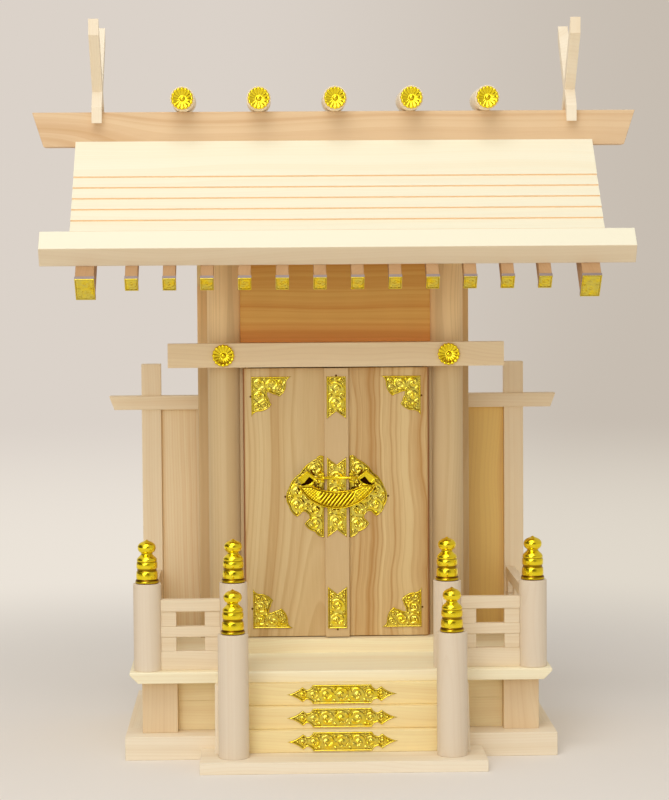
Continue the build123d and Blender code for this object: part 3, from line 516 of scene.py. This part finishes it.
def stamp(
    mesh, outline, rise, spot, along=(1, 0, 0), up=(0, 0, 1), out=(0, -1, 0), spacing=0.36,
    shade=None,
):
    """Adds a stamped plate: a closed shell whose front rises as rise(points, edge) says. Hollows
    get painted shade by their depth, its sides and rim get painted shade too, and shade gives
    further places of painted shade whatever their shape."""
    corners = np.array(outline)
    ring = []
    for first, last in zip(corners, np.roll(corners, -1, axis=0)):
        count = max(1, round(np.linalg.norm(last - first) / spacing))
        ring += [first + (last - first) * n / count for n in range(count)]
    ring = np.array(ring)
    points = np.vstack([ring, fill(ring, spacing)])
    order = list(range(len(ring)))
    edges = [(n, (n + 1) % len(ring)) for n in order]
    found = delaunay_2d_cdt([Vector(p) for p in points], edges, [order], 1, 1e-5)
    flat = np.array([tuple(v) for v in found[0]])
    heights = rise(flat, edge_distance(flat, ring))
    crease = crease_layer(mesh)
    spot, along, up, out = (Vector(v) for v in (spot, along, up, out))

    def lay(a, b, height, shade_and_wear):
        vert = mesh.verts.new((spot + along * a + up * b + out * height) * MM)
        vert[crease] = shade_and_wear
        return vert

    tops = [lay(a, b, h, 0.0) for (a, b), h in zip(flat, heights)]
    for triangle in found[2]:
        mesh.faces.new([tops[n] for n in triangle])
    for top, height in zip(tops, heights):
        near = [edge.other_vert(top) for edge in top.link_edges]
        spots = [(vert.co / MM - spot).dot(out) for vert in near]
        hollow = sum(spots) / len(spots) - height
        top[crease] = min(deepest_crease, max(0.0, (hollow - crease_from) * crease_gain))
    place_of = {}
    for made, sources in enumerate(found[3]):
        for source in sources:
            place_of[source] = made
    rim = [place_of[n] for n in order]
    feet = [lay(*flat[n], 0.0, foot_crease) for n in rim]
    for n in order:
        m = (n + 1) % len(order)
        if rim[n] != rim[m]:
            mesh.faces.new((tops[rim[n]], tops[rim[m]], feet[m], feet[n]))
        tops[rim[n]][crease] = rim_crease
    if shade is not None:
        for top, shade_and_wear in zip(tops, shade(flat)):
            top[crease] = max(top[crease], shade_and_wear)
    mesh.faces.new(feet)


def scroll_places(outline, border, largest=4.6, smallest=0.6, folded=False, clear=0.25):
    """Round places that fill a plate inside its border, the largest first. A folded plate has
    the same ones left and right of its middle line."""
    outline = np.array(outline)
    points = fill(outline, 0.3)
    if folded:
        points = points[points[:, 0] > -1e-6]
        points[points[:, 0] < 0.3, 0] = 0.0
    room = np.minimum(edge_distance(points, outline) - border, largest)
    if folded:
        beside = points[:, 0] > 0
        room[beside] = np.minimum(room[beside], points[beside, 0] - clear)
    places = []
    while len(places) < 60:
        best = room.argmax()
        size = room[best]
        if size < smallest:
            break
        centre = points[best].copy()
        hand = 1 if len(places) % 2 else -1
        places.append((centre, size, hand))
        if folded and centre[0] > 0:
            places.append((centre * (-1, 1), size, -hand))
        room = np.minimum(room, np.linalg.norm(points - centre, axis=1) - size - clear)
    return places


largest_bud = 1.2
coil_turns = 1.35
leaf_lobes = 5
cut_width = 0.36


def scrollwork(places, border, field=0.15, relief=0.8, cuts=()):
    """The rise of a stamped plate: a rounded border, a sunk field, leafy scrolls and buds. Cuts
    are lines of points that are chased into it after stamping."""

    def rise(points, edge):
        height = np.full(len(points), field)
        for centre, size, hand in places:
            across, up = (points - centre).T
            gone = np.hypot(across, up)
            turn = np.arctan2(up, hand * across) / (2 * math.pi)
            within = 1 / (1 + np.exp((gone - 0.97 * size) / 0.1))
            if size < largest_bud:
                form = np.exp(-(gone / (0.62 * size)) ** 2)
            else:
                coil = (gone / (size / coil_turns) + turn) % 1.0
                lobes = 0.72 + 0.28 * np.cos(leaf_lobes * 2 * math.pi * turn)
                stem = np.exp(-((coil - 0.5) / 0.24) ** 2) * lobes
                form = np.maximum(stem, np.exp(-(gone / (0.22 * size)) ** 2))
            height = np.maximum(height, field + relief * form * within)
        outer = np.clip(edge / (0.35 * border), 0, 1) ** 0.5
        lip = outer * np.clip((border - edge) / (0.35 * border), 0, 1)
        for cut in cuts:
            for first, last in zip(cut, cut[1:]):
                run = np.array(last) - first
                share = np.clip(((points - first) @ run) / (run @ run), 0, 1)
                away = np.linalg.norm(points - first - share[:, None] * run, axis=1)
                height = height * (1 - 0.9 * np.exp(-(away / cut_width) ** 2))
        height = np.minimum(height, field + relief)
        return np.maximum(height * np.clip(edge / 0.2, 0.6, 1), field + relief * lip)

    return rise


plate_border = 1.1
inner_cut = ((0.9, -2.7), (3.4, -0.6), (6.0, 2.2))
outer_cut = ((12.6, -1.2), (12.2, 1.2), (10.8, 2.3), (9.2, 2.5))
step_cuts = [
    [(hand * along, up) for along, up in line]
    for hand in (-1, 1) for line in (inner_cut, outer_cut)
]
mesh = bmesh.new()
for outline in front_outlines("step_plates", (0, -1, 0)):
    middle = sum(v.z for v in outline) / len(outline)
    flat = [(v.x, v.z - middle) for v in outline]
    back = outline[0].y + plate_thk
    scrolls = scroll_places(flat, plate_border, folded=True)
    stamp(
        mesh, flat, scrollwork(scrolls, plate_border, cuts=step_cuts), (0, back, middle),
        spacing=0.4,
    )
hold("stamped_step_plates", mesh, stamped_gilt, "shrine", "gilt_fittings", "step_plates")

# Platform: a broad board on the plinth, its ends undercut and its front edge eased, so that a
# bright line runs along it.
platform_pale = paint(252, 243, 210)
platform_line = paint(236, 210, 160)
dress(cypress("wood_platform", platform_pale, platform_line, "x", (-40, 20)), "platform")

# Railing posts and newels: round posts turned from straight-grained cypress, a little paler and
# rosier than the boards, pegged into the platform and the base board.
turned_pale = paint(230, 214, 190)
turned_line = paint(212, 184, 150)
turned_wood = cypress("wood_turned", turned_pale, turned_line, "z", (10, -200), figure=0.4)
dress(turned_wood, "railing_posts", "newels")

# Finials: caps of spun brass on all six posts, polished and gilded. Each has a flange, a drum
# with rounded bands between grooves painted dark as painted shade, a domed shoulder and a
# pointed ball. The profile gives the radius, the height and the painted shade of each ring.
finial_profile = (
    (7.2, 0.0, 0.9), (7.5, 0.3, 0.7), (7.6, 0.9, 0.3), (7.55, 1.5, 0.4), (7.3, 2.1, 0.7),
    (6.95, 2.6, 0.9), (6.75, 2.95, 0.4), (6.9, 3.4, 0.0), (7.0, 4.4, 0.0), (6.95, 5.6, 0.0),
    (6.85, 6.8, 0.0), (6.72, 7.6, 0.1), (6.45, 7.95, 0.45), (6.25, 8.2, 0.6), (6.2, 8.9, 0.6),
    (6.25, 9.5, 0.6), (6.5, 9.75, 0.4), (6.7, 10.1, 0.0), (6.78, 11.4, 0.0), (6.75, 12.6, 0.0),
    (6.62, 13.5, 0.1), (6.35, 13.85, 0.4), (6.3, 14.1, 0.55), (6.35, 14.35, 0.4),
    (6.55, 14.65, 0.0), (6.5, 15.3, 0.0), (6.2, 16.1, 0.0), (5.6, 16.9, 0.0), (4.8, 17.6, 0.0),
    (4.3, 18.1, 0.0), (3.9, 18.5, 0.1), (3.65, 18.9, 0.3), (3.55, 19.25, 0.4), (3.7, 19.6, 0.3),
    (4.2, 19.95, 0.1), (5.0, 20.6, 0.0), (5.55, 21.5, 0.0), (5.85, 22.5, 0.0), (5.88, 23.4, 0.0),
    (5.7, 24.3, 0.0), (5.3, 25.1, 0.0), (4.6, 25.9, 0.0), (3.7, 26.5, 0.0), (2.7, 26.95, 0.0),
    (1.7, 27.3, 0.1), (1.0, 27.7, 0.0), (0.5, 28.05, 0.0),
)
finial_tip = 28.3
finial_sides = 64


def join_rings(mesh, rings):
    """Adds the faces between each closed ring of points and the next."""
    for near, far in zip(rings, rings[1:]):
        count = len(near)
        for n in range(count):
            m = (n + 1) % count
            mesh.faces.new((near[n], near[m], far[m], far[n]))


def turned(mesh, profile, tip, spot, segments):
    """Adds a turned form: a closed ring at each (radius, height, painted shade), and its tip."""
    crease = crease_layer(mesh)
    rings = []
    for radius, height, shade_and_wear in profile:
        ring = []
        for n in range(segments):
            angle = 2 * math.pi * n / segments
            offset = Vector((radius * math.cos(angle), radius * math.sin(angle), height))
            vert = mesh.verts.new((Vector(spot) + offset) * MM)
            vert[crease] = shade_and_wear
            ring.append(vert)
        rings.append(ring)
    peak = mesh.verts.new((Vector(spot) + Vector((0, 0, tip))) * MM)
    join_rings(mesh, rings)
    for n in range(segments):
        mesh.faces.new((rings[-1][n], rings[-1][(n + 1) % segments], peak))
    mesh.faces.new(rings[0][::-1])


mesh = bmesh.new()
for low, high in solid_boxes("finials"):
    middle = (low + high) / 2
    foot = (middle[0], middle[1], low[2])
    turned(mesh, finial_profile, finial_tip, foot, finial_sides)
hold("turned_finials", mesh, smooth_gilt, "shrine", "gilt_fittings", "finials")

# Railings: three square bars between the posts with small blocks between them, and a raking
# hand rail down to each newel. All are tenoned into the round posts.
rail_pale = paint(237, 219, 188)
rail_line = paint(214, 184, 138)
dress(cypress("wood_rails", rail_pale, rail_line, "x", (-30, -48)), "front_rails", "rail_blocks")
dress(cypress("wood_side_rails", rail_pale, rail_line, "y", (190, -30)), "side_rails")
dress(cypress("wood_hand_rails", rail_pale, rail_line, "y", (20, 60)), "hand_rails")

# Columns and rear posts: two round columns carry the eave beside the doors and two square posts
# stand behind. They are of a darker, straight-grained board than the frame. Their heads are
# painted paler and warmer, as painted light that lifts the shade under the eave.
column_pale = paint(216, 189, 143)
column_line = paint(192, 156, 104)
column_head_light = paint(255, 220, 162)
dress(
    cypress(
        "wood_columns", column_pale, column_line, "z", (0, -150), figure=0.75,
        turning=("z", 238, 290, column_head_light),
    ),
    "columns", "rear_posts",
)

# Threshold and head beam: long bars halved over the columns above and below the doors, with the
# bores for the doors' pins.
threshold_pale = paint(252, 240, 202)
threshold_line = paint(232, 200, 148)
beam_pale = paint(238, 214, 172)
dress(cypress("wood_threshold", threshold_pale, threshold_line, "x", (90, 20)), "threshold")
dress(cypress("wood_head_beam", beam_pale, body_line, "x", (300, 60)), "head_beam")

# Rosettes: stamped gilt flowers pinned over the joints of head beam and columns. Sixteen petals
# round a dish with a boss, the same work as the flowers on the ridge logs.
petal_count = 16
points_per_petal = 10
boss_top = 0.75
rosette_radius = 7.5
rosette_rings = (
    (0.1, 0.7, 0.0, 0.0), (0.16, 0.62, 0.0, 0.0), (0.2, 0.42, 0.0, 0.7), (0.24, 0.26, 0.0, 0.0),
    (0.3, 0.26, 0.04, 0.0), (0.38, 0.33, 0.08, 0.0), (0.5, 0.46, 0.13, 0.0),
    (0.62, 0.62, 0.16, 0.0), (0.74, 0.82, 0.18, 0.0), (0.82, 0.95, 0.19, 0.0),
    (0.88, 1.0, 0.18, 0.0), (0.93, 0.94, 0.17, 0.0), (0.97, 0.8, 0.13, 0.0), (1.0, 0.6, 0.1, 0.0),
    (1.0, 0.0, 0.0, 0.0),
)


def flower(mesh, low, high, radius):
    """Adds a closed flower that looks forward and fills the space from low to high. Each ring,
    from the boss out to the petals' ends and back, has its share of the radius and of the
    thickness, the depth of its flutes and its painted shade. The hollows between the petals get
    painted shade too."""
    crease = crease_layer(mesh)
    middle_x, back, middle_z = (low[0] + high[0]) / 2, high[1], (low[2] + high[2]) / 2
    thk = high[1] - low[1]
    segments = petal_count * points_per_petal
    rings = []
    for share, depth, flute, tarnish_and_shade in rosette_rings:
        ring = []
        for n in range(segments):
            angle = 2 * math.pi * n / segments
            petal = abs(math.cos(petal_count * angle / 2))
            reach = radius * share * (1 - 0.07 * share ** 3 * (1 - petal))
            height = thk * (depth - flute * (1 - petal) ** 1.5)
            across, up = reach * math.cos(angle), reach * math.sin(angle)
            vert = mesh.verts.new(Vector((middle_x + across, back - height, middle_z + up)) * MM)
            # painted shade in the hollows between the petals, and the ring's own painted shade
            vert[crease] = (1 - petal) ** 4 * flute * 3 + tarnish_and_shade
            ring.append(vert)
        rings.append(ring)
    crown = mesh.verts.new(Vector((middle_x, back - thk * boss_top, middle_z)) * MM)
    join_rings(mesh, rings)
    for n in range(segments):
        mesh.faces.new((rings[0][n], rings[0][(n + 1) % segments], crown))
    mesh.faces.new(rings[-1][::-1])


mesh = bmesh.new()
for low, high in solid_boxes("rosettes"):
    flower(mesh, low, high, rosette_radius)
hold("stamped_rosettes", mesh, smooth_gilt, "shrine", "gilt_fittings", "rosettes")

# Upper panel: a wide board between the columns over the head beam, set back in the shade. Its
# grain runs level, and its strong orange is painted bounce light, warm from the wood round it.
# It is redder towards its foot.
panel_pale = paint(238, 188, 98)
panel_line = paint(214, 136, 52)
panel_foot = paint(240, 160, 78)
dress(
    cypress(
        "wood_upper_panel", panel_pale, panel_line, "x", (240, 40), ring=4.2, figure=0.9,
        turning=("z", 282, 262, panel_foot),
    ),
    "upper_panel",
)

# Walls and door stops: boards with upright grain, grooved into columns and rear posts. The
# stops are nailed behind the leaves.
wall_pale = paint(236, 206, 160)
wall_line = paint(208, 164, 108)
dress(cypress("wood_walls", wall_pale, wall_line, "z", (30, 140)), "side_walls", "rear_wall")
dress(cypress("wood_stops", column_pale, column_line, "z", (0, 200)), "door_stops")

# Wings: beside the body stands a post on each side, with a rail across it and a panel below.
# The right panel is painted a deeper yellow-brown than the left, as painted shade with a golden
# reflection in it.
wing_panel_left = paint(250, 230, 190)
wing_panel_right_shade = paint(244, 208, 126)
wing_panel_line = paint(226, 180, 112)
dress(
    cypress(
        "wood_wings", wing_panel_left, wing_panel_line, "z", (20, 60), figure=0.8,
        turning=("x", -20, 20, wing_panel_right_shade),
    ),
    "wing_panels",
)
wing_pale = paint(246, 228, 194)
wing_line = paint(224, 190, 140)
dress(cypress("wood_wing_posts", wing_pale, wing_line, "z", (160, 20)), "wing_posts")
dress(cypress("wood_wing_rails", wing_pale, wing_line, "x", (300, 90)), "wing_rails")

# Plates and purlin: squared timbers of the same cypress, laid along the walls' heads and under
# the ridge. They carry the roof and are hidden by it.
dress(cypress("wood_plates", step_pale, step_line, "x", (300, 0)), "wall_plates", "ridge_purlin")

# Roof: on each slope a thick slab, its lower half cut in five lapped courses, and along its foot
# a wider eave board. It is the palest sapwood of the whole shrine, with hardly any figure, and
# the courses' cut ends, which look down the slope, are painted orange as painted shade, so they
# show as fine orange lines.
roof_pitch = math.radians(44.5)
roof_pale = paint(247, 240, 213)
roof_line = paint(240, 218, 174)
course_end_shade = paint(250, 208, 158)
course_count = 5
course_pitch = 10.2
course_step = 1.15
course_round = 0.1
for side_name, face_way in (("front", -1), ("rear", 1)):
    slab = nodes[f"roof_slab_{side_name}"]
    spots = {(round(v.co.y / MM, 2), round(v.co.z / MM, 2)) for v in slab.data.vertices}
    half_long = max(v.co.x for v in slab.data.vertices) / MM
    foot = Vector(max(spots, key=lambda spot: spot[0] * face_way))
    head = Vector(max(spots, key=lambda spot: spot[1]))
    foot_under = Vector(min(spots, key=lambda spot: spot[1]))
    head_under = Vector(min(spots, key=lambda spot: (abs(spot[0] - head.x), spot[1])))
    climb = (head - foot).normalized()
    inward = Vector((-face_way * abs(climb.y), -abs(climb.x)))
    section = [foot_under, foot]
    for number in range(1, course_count + 1):
        butt = foot + climb * (number * course_pitch)
        section += [butt + inward * course_step, butt]
    section += [head, head_under]
    mesh = bmesh.new()
    near, far = (
        [mesh.verts.new(Vector((x, y, z)) * MM) for y, z in section]
        for x in (-half_long, half_long)
    )
    mesh.faces.new(near)
    mesh.faces.new(far[::-1])
    join_rings(mesh, (near, far))
    down_roof = (0, face_way * math.cos(roof_pitch), -math.sin(roof_pitch))
    roof_wood = cypress(
        f"wood_roof_{side_name}", roof_pale, roof_line, "x", (250, -120), figure=0.35,
        facing=(down_roof, 0.7, 0.95, course_end_shade),
    )
    courses = hold(
        f"roof_courses_{side_name}", mesh, roof_wood, "shrine", "frame_wood",
        f"roof_slab_{side_name}", smooth=False,
    )
    ease_edges(courses, course_round)
eave_pale = paint(232, 214, 182)
eave_line = paint(214, 186, 146)
# The upward faces of the eave boards are painted as pale as the roof, as painted light from above.
eave_wood = cypress(
    "wood_eave", eave_pale, eave_line, "x", (190, -90), figure=0.4,
    facing=((0, 0, 1), 0.3, 0.6, roof_pale),
)
dress(eave_wood, "eave_board_front", "eave_board_rear")

# Rafters: twelve small square ones under the front slope and a deeper barge rafter at each
# gable, nailed up under the slab and cut square. Their brown is the wood's tone darkened further
# as painted shade under the eave.
rafter_pale = paint(190, 150, 106)
rafter_line = paint(166, 120, 76)
dress(
    cypress("wood_rafters", rafter_pale, rafter_line, "y", (30, 280)),
    "rafters", "barge_rafters_front", "barge_rafters_rear",
)

# Rafter caps: small pans of stamped gilt brass, pushed over the cut ends. The front carries an
# ornament, and the sides reach a little way back over the wood, brushed, and painted greyer than
# the front as a painted reflection of the pale room.
down_slope = Vector((0, -math.cos(roof_pitch), -math.sin(roof_pitch)))
into_roof = Vector((0, math.sin(roof_pitch), -math.cos(roof_pitch)))
cap_face = 0.6
cap_skirt = 2.3
cap_wall = 0.26
cap_border = 0.8
skirt_pale = paint(176, 164, 162)
skirt_dark = paint(150, 138, 142)
skirt_material, wire = new_material("gilt_skirt")
streak = wire.noise(wire.place(), 1.2, 3.0)
surface = wire.node(
    "ShaderNodeBsdfPrincipled", Metallic=1.0, Roughness=0.38 + streak * 0.1,
    Base_Color=wire.blend(streak, skirt_pale, skirt_dark),
)
wire.node("ShaderNodeOutputMaterial", Surface=surface)

mesh = bmesh.new()
skirts = bmesh.new()
for outline in front_outlines("rafter_caps", down_slope):
    middle = sum(outline, Vector()) / len(outline)
    across = Vector((1, 0, 0))
    flat = [((v - middle).dot(across), (v - middle).dot(into_roof)) for v in outline]
    scrolls = scroll_places(flat, cap_border, folded=True, largest=3.4)
    stamp(
        mesh, flat, scrollwork(scrolls, cap_border, field=0.2, relief=0.38),
        middle - down_slope * cap_face, across, into_roof, down_slope, spacing=0.34,
    )
    half_x = max(a for a, b in flat)
    half_b = max(b for a, b in flat)
    cap_end = cap_face + cap_skirt
    rings = []
    for back, inset in ((cap_face, 0), (cap_end, 0), (cap_end, cap_wall), (cap_face, cap_wall)):
        ring = []
        for a, b in ((-1, -1), (1, -1), (1, 1), (-1, 1)):
            spot = middle - down_slope * back
            spot = spot + across * (a * (half_x - inset)) + into_roof * (b * (half_b - inset))
            ring.append(skirts.verts.new(spot * MM))
        rings.append(ring)
    join_rings(skirts, rings + rings[:1])
hold("stamped_rafter_caps", mesh, stamped_gilt, "shrine", "gilt_fittings", "rafter_caps")
hold(
    "cap_skirts", skirts, skirt_material, "shrine", "gilt_fittings", "rafter_caps", smooth=False,
)

# Ridge board: a deep board along the ridge, its ends raked outward. It is cut through the heart,
# so long pointed flames run along its face.
ridge_pale = paint(230, 199, 158)
ridge_line = paint(196, 144, 88)
dress(
    cypress(
        "wood_ridge", ridge_pale, ridge_line, "x", (394, 8), ring=3.6,
        figure=0.6, flame=0.4, crook=(-215, -105, 15),
    ),
    "ridge_board",
)

# Ridge logs: five round billets laid across the ridge board, each with a gilt flower on its
# front end like the rosettes.
dress(cypress("wood_logs", cream, cream_line, "y", (0, 420), figure=0.4), "ridge_logs")
log_flower_radius = 7.35
mesh = bmesh.new()
for low, high in solid_boxes("ridge_log_caps"):
    flower(mesh, low, high, log_flower_radius)
hold("stamped_log_caps", mesh, smooth_gilt, "shrine", "gilt_fittings", "ridge_log_caps")

# Crossed finials: at each end of the ridge two slim arms are halved together astride the board,
# with their grain along them.
dress(
    cypress("wood_chigi", cream, cream_line, "z", (150, 60), figure=0.4),
    "chigi_arms_front", "chigi_arms_rear",
)

# Door leaves: one wide board each with upright grain, its heel rounded round the turned pins.
# Both boards come from beside the heart, so broad soft flames stand in them.
door_pale = paint(222, 195, 144)
door_line = paint(190, 148, 88)
right_leaf_pale = paint(226, 197, 142)
right_leaf_line = paint(190, 144, 84)
# The leaves' outward heels are painted dark, as painted shade of the gaps beside the columns.
heel_shade = paint(150, 92, 50)
dress(
    cypress(
        "wood_left_leaf", door_pale, door_line, "z", (-14, 62), ring=2.8, figure=1.1,
        flame=0.7, crook=(200, 40, 9), facing=((-1, 0, 0), 0.4, 0.9, heel_shade),
    ),
    "leaf_left",
)
dress(
    cypress(
        "wood_right_leaf", right_leaf_pale, right_leaf_line, "z", (86, 62), ring=3.4,
        figure=1.35, flame=0.6, sway=0.012, facing=((1, 0, 0), 0.4, 0.9, heel_shade),
    ),
    "leaf_right",
)

# Meeting strip: a thick square strip of the same cypress, glued down the edge of the left leaf,
# so that it laps the right one and covers the gap between them.
strip_pale = paint(226, 200, 154)
dress(cypress("wood_astragal", strip_pale, door_line, "z", (0, -90), figure=0.6), "astragal")

# Corner plates and lock plates: stamped gilt brass like the step plates, cut in scallops and
# pinned to the leaves. Small dark pins show beside the plates' outer edges.
pin_radius = 0.7
pin_sides = 16
pin_profile = ((1.0, 0.0), (0.97, 0.12), (0.8, 0.28), (0.45, 0.38))
pin_out = 0.5
pin_up = 13.4
short_plate = 40
door_middle = 150
pin_brown = paint(120, 78, 30)
pin_black = paint(84, 50, 18)
pin_material, wire = new_material("dark_pins")
tarnish_and_shade = wire.noise(wire.place(), 3.0, 2.0)
surface = wire.node(
    "ShaderNodeBsdfPrincipled", Metallic=1.0, Roughness=0.35,
    Base_Color=wire.blend(tarnish_and_shade, pin_brown, pin_black),
)
wire.node("ShaderNodeOutputMaterial", Surface=surface)


def pin(mesh, x, y, z):
    """Adds the round head of a pin to a face that looks forward."""
    rings = []
    for share, depth in pin_profile:
        ring = []
        for n in range(pin_sides):
            angle = 2 * math.pi * n / pin_sides
            reach = pin_radius * share
            spot = (x + reach * math.cos(angle), y - depth, z + reach * math.sin(angle))
            ring.append(mesh.verts.new(Vector(spot) * MM))
        rings.append(ring)
    join_rings(mesh, rings)
    mesh.faces.new(rings[0])
    mesh.faces.new(rings[-1])


for side_name, sign in (("left", -1), ("right", 1)):
    mesh = bmesh.new()
    pins = bmesh.new()
    for outline in front_outlines(f"leaf_fittings_{side_name}", (0, -1, 0)):
        spots = np.array(outline)
        back = spots[:, 1].max() + plate_thk
        low, high = spots[:, 2].min(), spots[:, 2].max()
        outer = abs(spots[:, 0]).max()
        if high - low < short_plate:
            # a corner plate, folded along the diagonal from its square corner
            foot = low if low < door_middle else high
            upward = 1 if foot == low else -1
            corner = Vector((sign * outer, back, foot))
            across = Vector((-sign, 0, 0))
            up = Vector((0, 0, upward))
            along = (across - up).normalized()
            rise_way = (across + up).normalized()
            flat = [((v - corner).dot(along), (v - corner).dot(rise_way)) for v in outline]
            scrolls = scroll_places(flat, plate_border, folded=True, largest=4.0)
            stamp(mesh, flat, scrollwork(scrolls, plate_border), corner, along, rise_way)
            pin(pins, sign * (outer + pin_out), back, foot + upward * pin_up)
        else:
            middle = (low + high) / 2
            inner = abs(spots[:, 0]).min()
            spot = Vector((sign * inner, back, middle))
            flat = [(sign * (v.x - spot.x), v.z - middle) for v in outline]
            scrolls = scroll_places(flat, plate_border)
            stamp(mesh, flat, scrollwork(scrolls, plate_border), spot, along=(sign, 0, 0))
            pin(pins, sign * (outer + pin_out), back, middle)
    hold(
        f"stamped_plates_{side_name}", mesh, stamped_gilt, f"{side_name}_leaf", "gilt_fittings",
        f"leaf_fittings_{side_name}",
    )
    hold(
        f"plate_pins_{side_name}", pins, pin_material, f"{side_name}_leaf", "gilt_fittings",
        f"leaf_fittings_{side_name}",
    )

# Gilt strips on the meeting strip: stamped like the plates, their notched ends towards the
# middle of the door. The one in the middle lies behind the lock.
strip_pin_out = 0.6
mesh = bmesh.new()
pins = bmesh.new()
for outline in front_outlines("astragal_strips", (0, -1, 0)):
    low, high = min(v.z for v in outline), max(v.z for v in outline)
    middle = (low + high) / 2
    back = outline[0].y + plate_thk
    flat = [(v.x, v.z - middle) for v in outline]
    scrolls = scroll_places(flat, plate_border, folded=True)
    stamp(mesh, flat, scrollwork(scrolls, plate_border), (0, back, middle))
    if high - low < short_plate:
        beyond = low - strip_pin_out if middle < door_middle else high + strip_pin_out
        pin(pins, 0, back, beyond)
hold("stamped_strips", mesh, stamped_gilt, "left_leaf", "gilt_fittings", "astragal_strips")
hold("strip_pins", pins, pin_material, "left_leaf", "gilt_fittings", "astragal_strips")

# Forked brackets: on each lock plate a small gilt brass bracket is riveted, with one prong above
# and one below the lock's rod.
fork_round = 0.4
for name in ("lock_fork_left", "lock_fork_right"):
    nodes[name].data.materials.clear()
    nodes[name].data.materials.append(smooth_gilt)
    nodes[name].modifiers.new("merged", "WELD").merge_threshold = 1e-6
    ease_edges(nodes[name], fork_round)

# Lock: a bent body of cast brass like a shrimp, its back ridged across the middle and edged with
# a bright rope, hung by its folded tail and head from a thin rod.
rod_low, rod_high = solid_boxes("lock_rod")[0]
rod_middle = (rod_low + rod_high) / 2
rod_radius = 1.05
rod_sides = 24
rod_profile = (
    (-1.0, 1.0), (-0.72, 1.0), (-0.7, 1.25), (-0.64, 1.25), (-0.62, 1.0), (0.0, 0.92),
    (0.62, 1.0), (0.64, 1.25), (0.7, 1.25), (0.72, 1.0), (1.0, 1.0),
)
mesh = bmesh.new()
rings = []
for share, swell in rod_profile:
    ring = []
    for n in range(rod_sides):
        angle = 2 * math.pi * n / rod_sides
        reach = rod_radius * swell
        spot = Vector((
            share * rod_high[0], rod_middle[1] + reach * math.cos(angle),
            rod_middle[2] + reach * math.sin(angle),
        ))
        ring.append(mesh.verts.new(spot * MM))
    rings.append(ring)
join_rings(mesh, rings)
mesh.faces.new(rings[0])
mesh.faces.new(rings[-1])
hold("drawn_rod", mesh, smooth_gilt, "lock", "gilt_fittings", "lock_rod")

lock_outline = front_outlines("lock_body", (0, -1, 0))[0]
lock_rear = max(v.co.y for v in nodes["lock_body"].data.vertices) / MM
lock_thk = lock_rear - lock_outline[0].y
lock_middle = sum(v.z for v in lock_outline) / len(lock_outline)
lock_flat = np.array([(v.x, v.z - lock_middle) for v in lock_outline])
lock_crown = lock_thk - 1.75
ridged_half = 12.5
ridge_spacing = 2.7
bead_wide, bead_high = 2.3, 2.1
rope_rise, cut_depth, pit_depth, gutter_depth = 0.9, 1.0, 0.6, 0.45


def lock_marks(points, edge):
    """How deep each point lies in a slanting cut of the middle, a pit of the ends or the
    gutter inside the rim, from 0 to 1."""
    wide, high = points.T
    off_rim = np.clip((edge - 1.5) / 0.6, 0, 1)
    near_middle = np.clip((ridged_half - abs(wide)) / 2, 0, 1) * off_rim
    slant = abs(np.cos((wide - 0.8 * high) * math.pi / ridge_spacing)) ** 0.6
    rows = np.cos(wide * 2 * math.pi / bead_wide) * np.cos(high * 2 * math.pi / bead_high)
    beads = 0.5 + 0.5 * rows
    toward_tips = np.clip((abs(wide) - ridged_half + 0.5) / 2, 0, 1) * off_rim
    gutter = np.exp(-((edge - 1.3) / 0.28) ** 2)
    return near_middle * (1 - slant), toward_tips * (1 - beads), gutter


def lock_rise(points, edge):
    """The body swells to its middle, with the marks cut in and a rope along its rim."""
    slant, pit, gutter = lock_marks(points, edge)
    swell = np.clip(edge / 4.6, 0, 1)
    height = 1.0 + lock_crown * (1 - (1 - swell) ** 2) ** 0.5
    rope = np.exp(-((edge - 0.6) / 0.36) ** 2)
    height += rope_rise * rope - cut_depth * slant - pit_depth * pit - gutter_depth * gutter
    return np.minimum(height, lock_thk)


def lock_shade(points):
    """How much painted shade lies in the cuts, the pits and the gutter, and faintly over the whole
    body.
    """
    slant, pit, gutter = lock_marks(points, edge_distance(points, lock_flat))
    return np.clip(0.1 + slant * 1.1 + pit * 0.35 + gutter * 0.6, 0, 0.85)


mesh = bmesh.new()
stamp(
    mesh, lock_flat, lock_rise, (0, lock_rear, lock_middle), spacing=0.25, shade=lock_shade,
)
hold("cast_lock_body", mesh, smooth_gilt, "lock", "gilt_fittings", "lock_body")

# Ends of the lock: head and tail of the shrimp, each a leaf of brass folded forward round the
# rod, so that a dark wedge stands open under the fold. The wedge is sunk and painted black as
# painted shadow.
fold_wedge = (
    (26.0, 168.9), (21.5, 171.0), (18.6, 174.6), (15.6, 172.6), (17.5, 170.6), (21.5, 169.2),
)
fold_height, fold_bottom, fold_lip = 2.7, 0.7, 0.5


def in_wedge(points):
    """1 under the fold and 0 outside it, soft over 0.4 mm."""
    depth = edge_distance(points, wedge) * np.where(inside(points, wedge), 1, -1)
    return np.clip(0.5 + depth / 0.4, 0, 1)


def fold_rise(points, edge):
    """A folded leaf, its upper and lower lips raised, over the dark wedge."""
    under = in_wedge(points)
    lips = np.exp(-((edge - 0.45) / 0.35) ** 2)
    leaf = fold_height + 0.05 * points[:, 0] + fold_lip * lips
    return np.clip(leaf * (1 - under) + fold_bottom * under, 0.3, lock_thk)


mesh = bmesh.new()
for outline in front_outlines("lock_ends", (0, -1, 0)):
    spots = np.array(outline)
    sign = 1 if spots[:, 0].mean() > 0 else -1
    middle_x = (abs(spots[:, 0]).min() + abs(spots[:, 0]).max()) / 2
    flat = [(sign * v.x - middle_x, v.z - rod_middle[2]) for v in outline]
    wedge = np.array([(wide - middle_x, high - rod_middle[2]) for wide, high in fold_wedge])
    stamp(
        mesh, flat, fold_rise, (sign * middle_x, lock_rear, rod_middle[2]), along=(sign, 0, 0),
        spacing=0.22, shade=in_wedge,
    )
hold("folded_lock_ends", mesh, smooth_gilt, "lock", "gilt_fittings", "lock_ends")
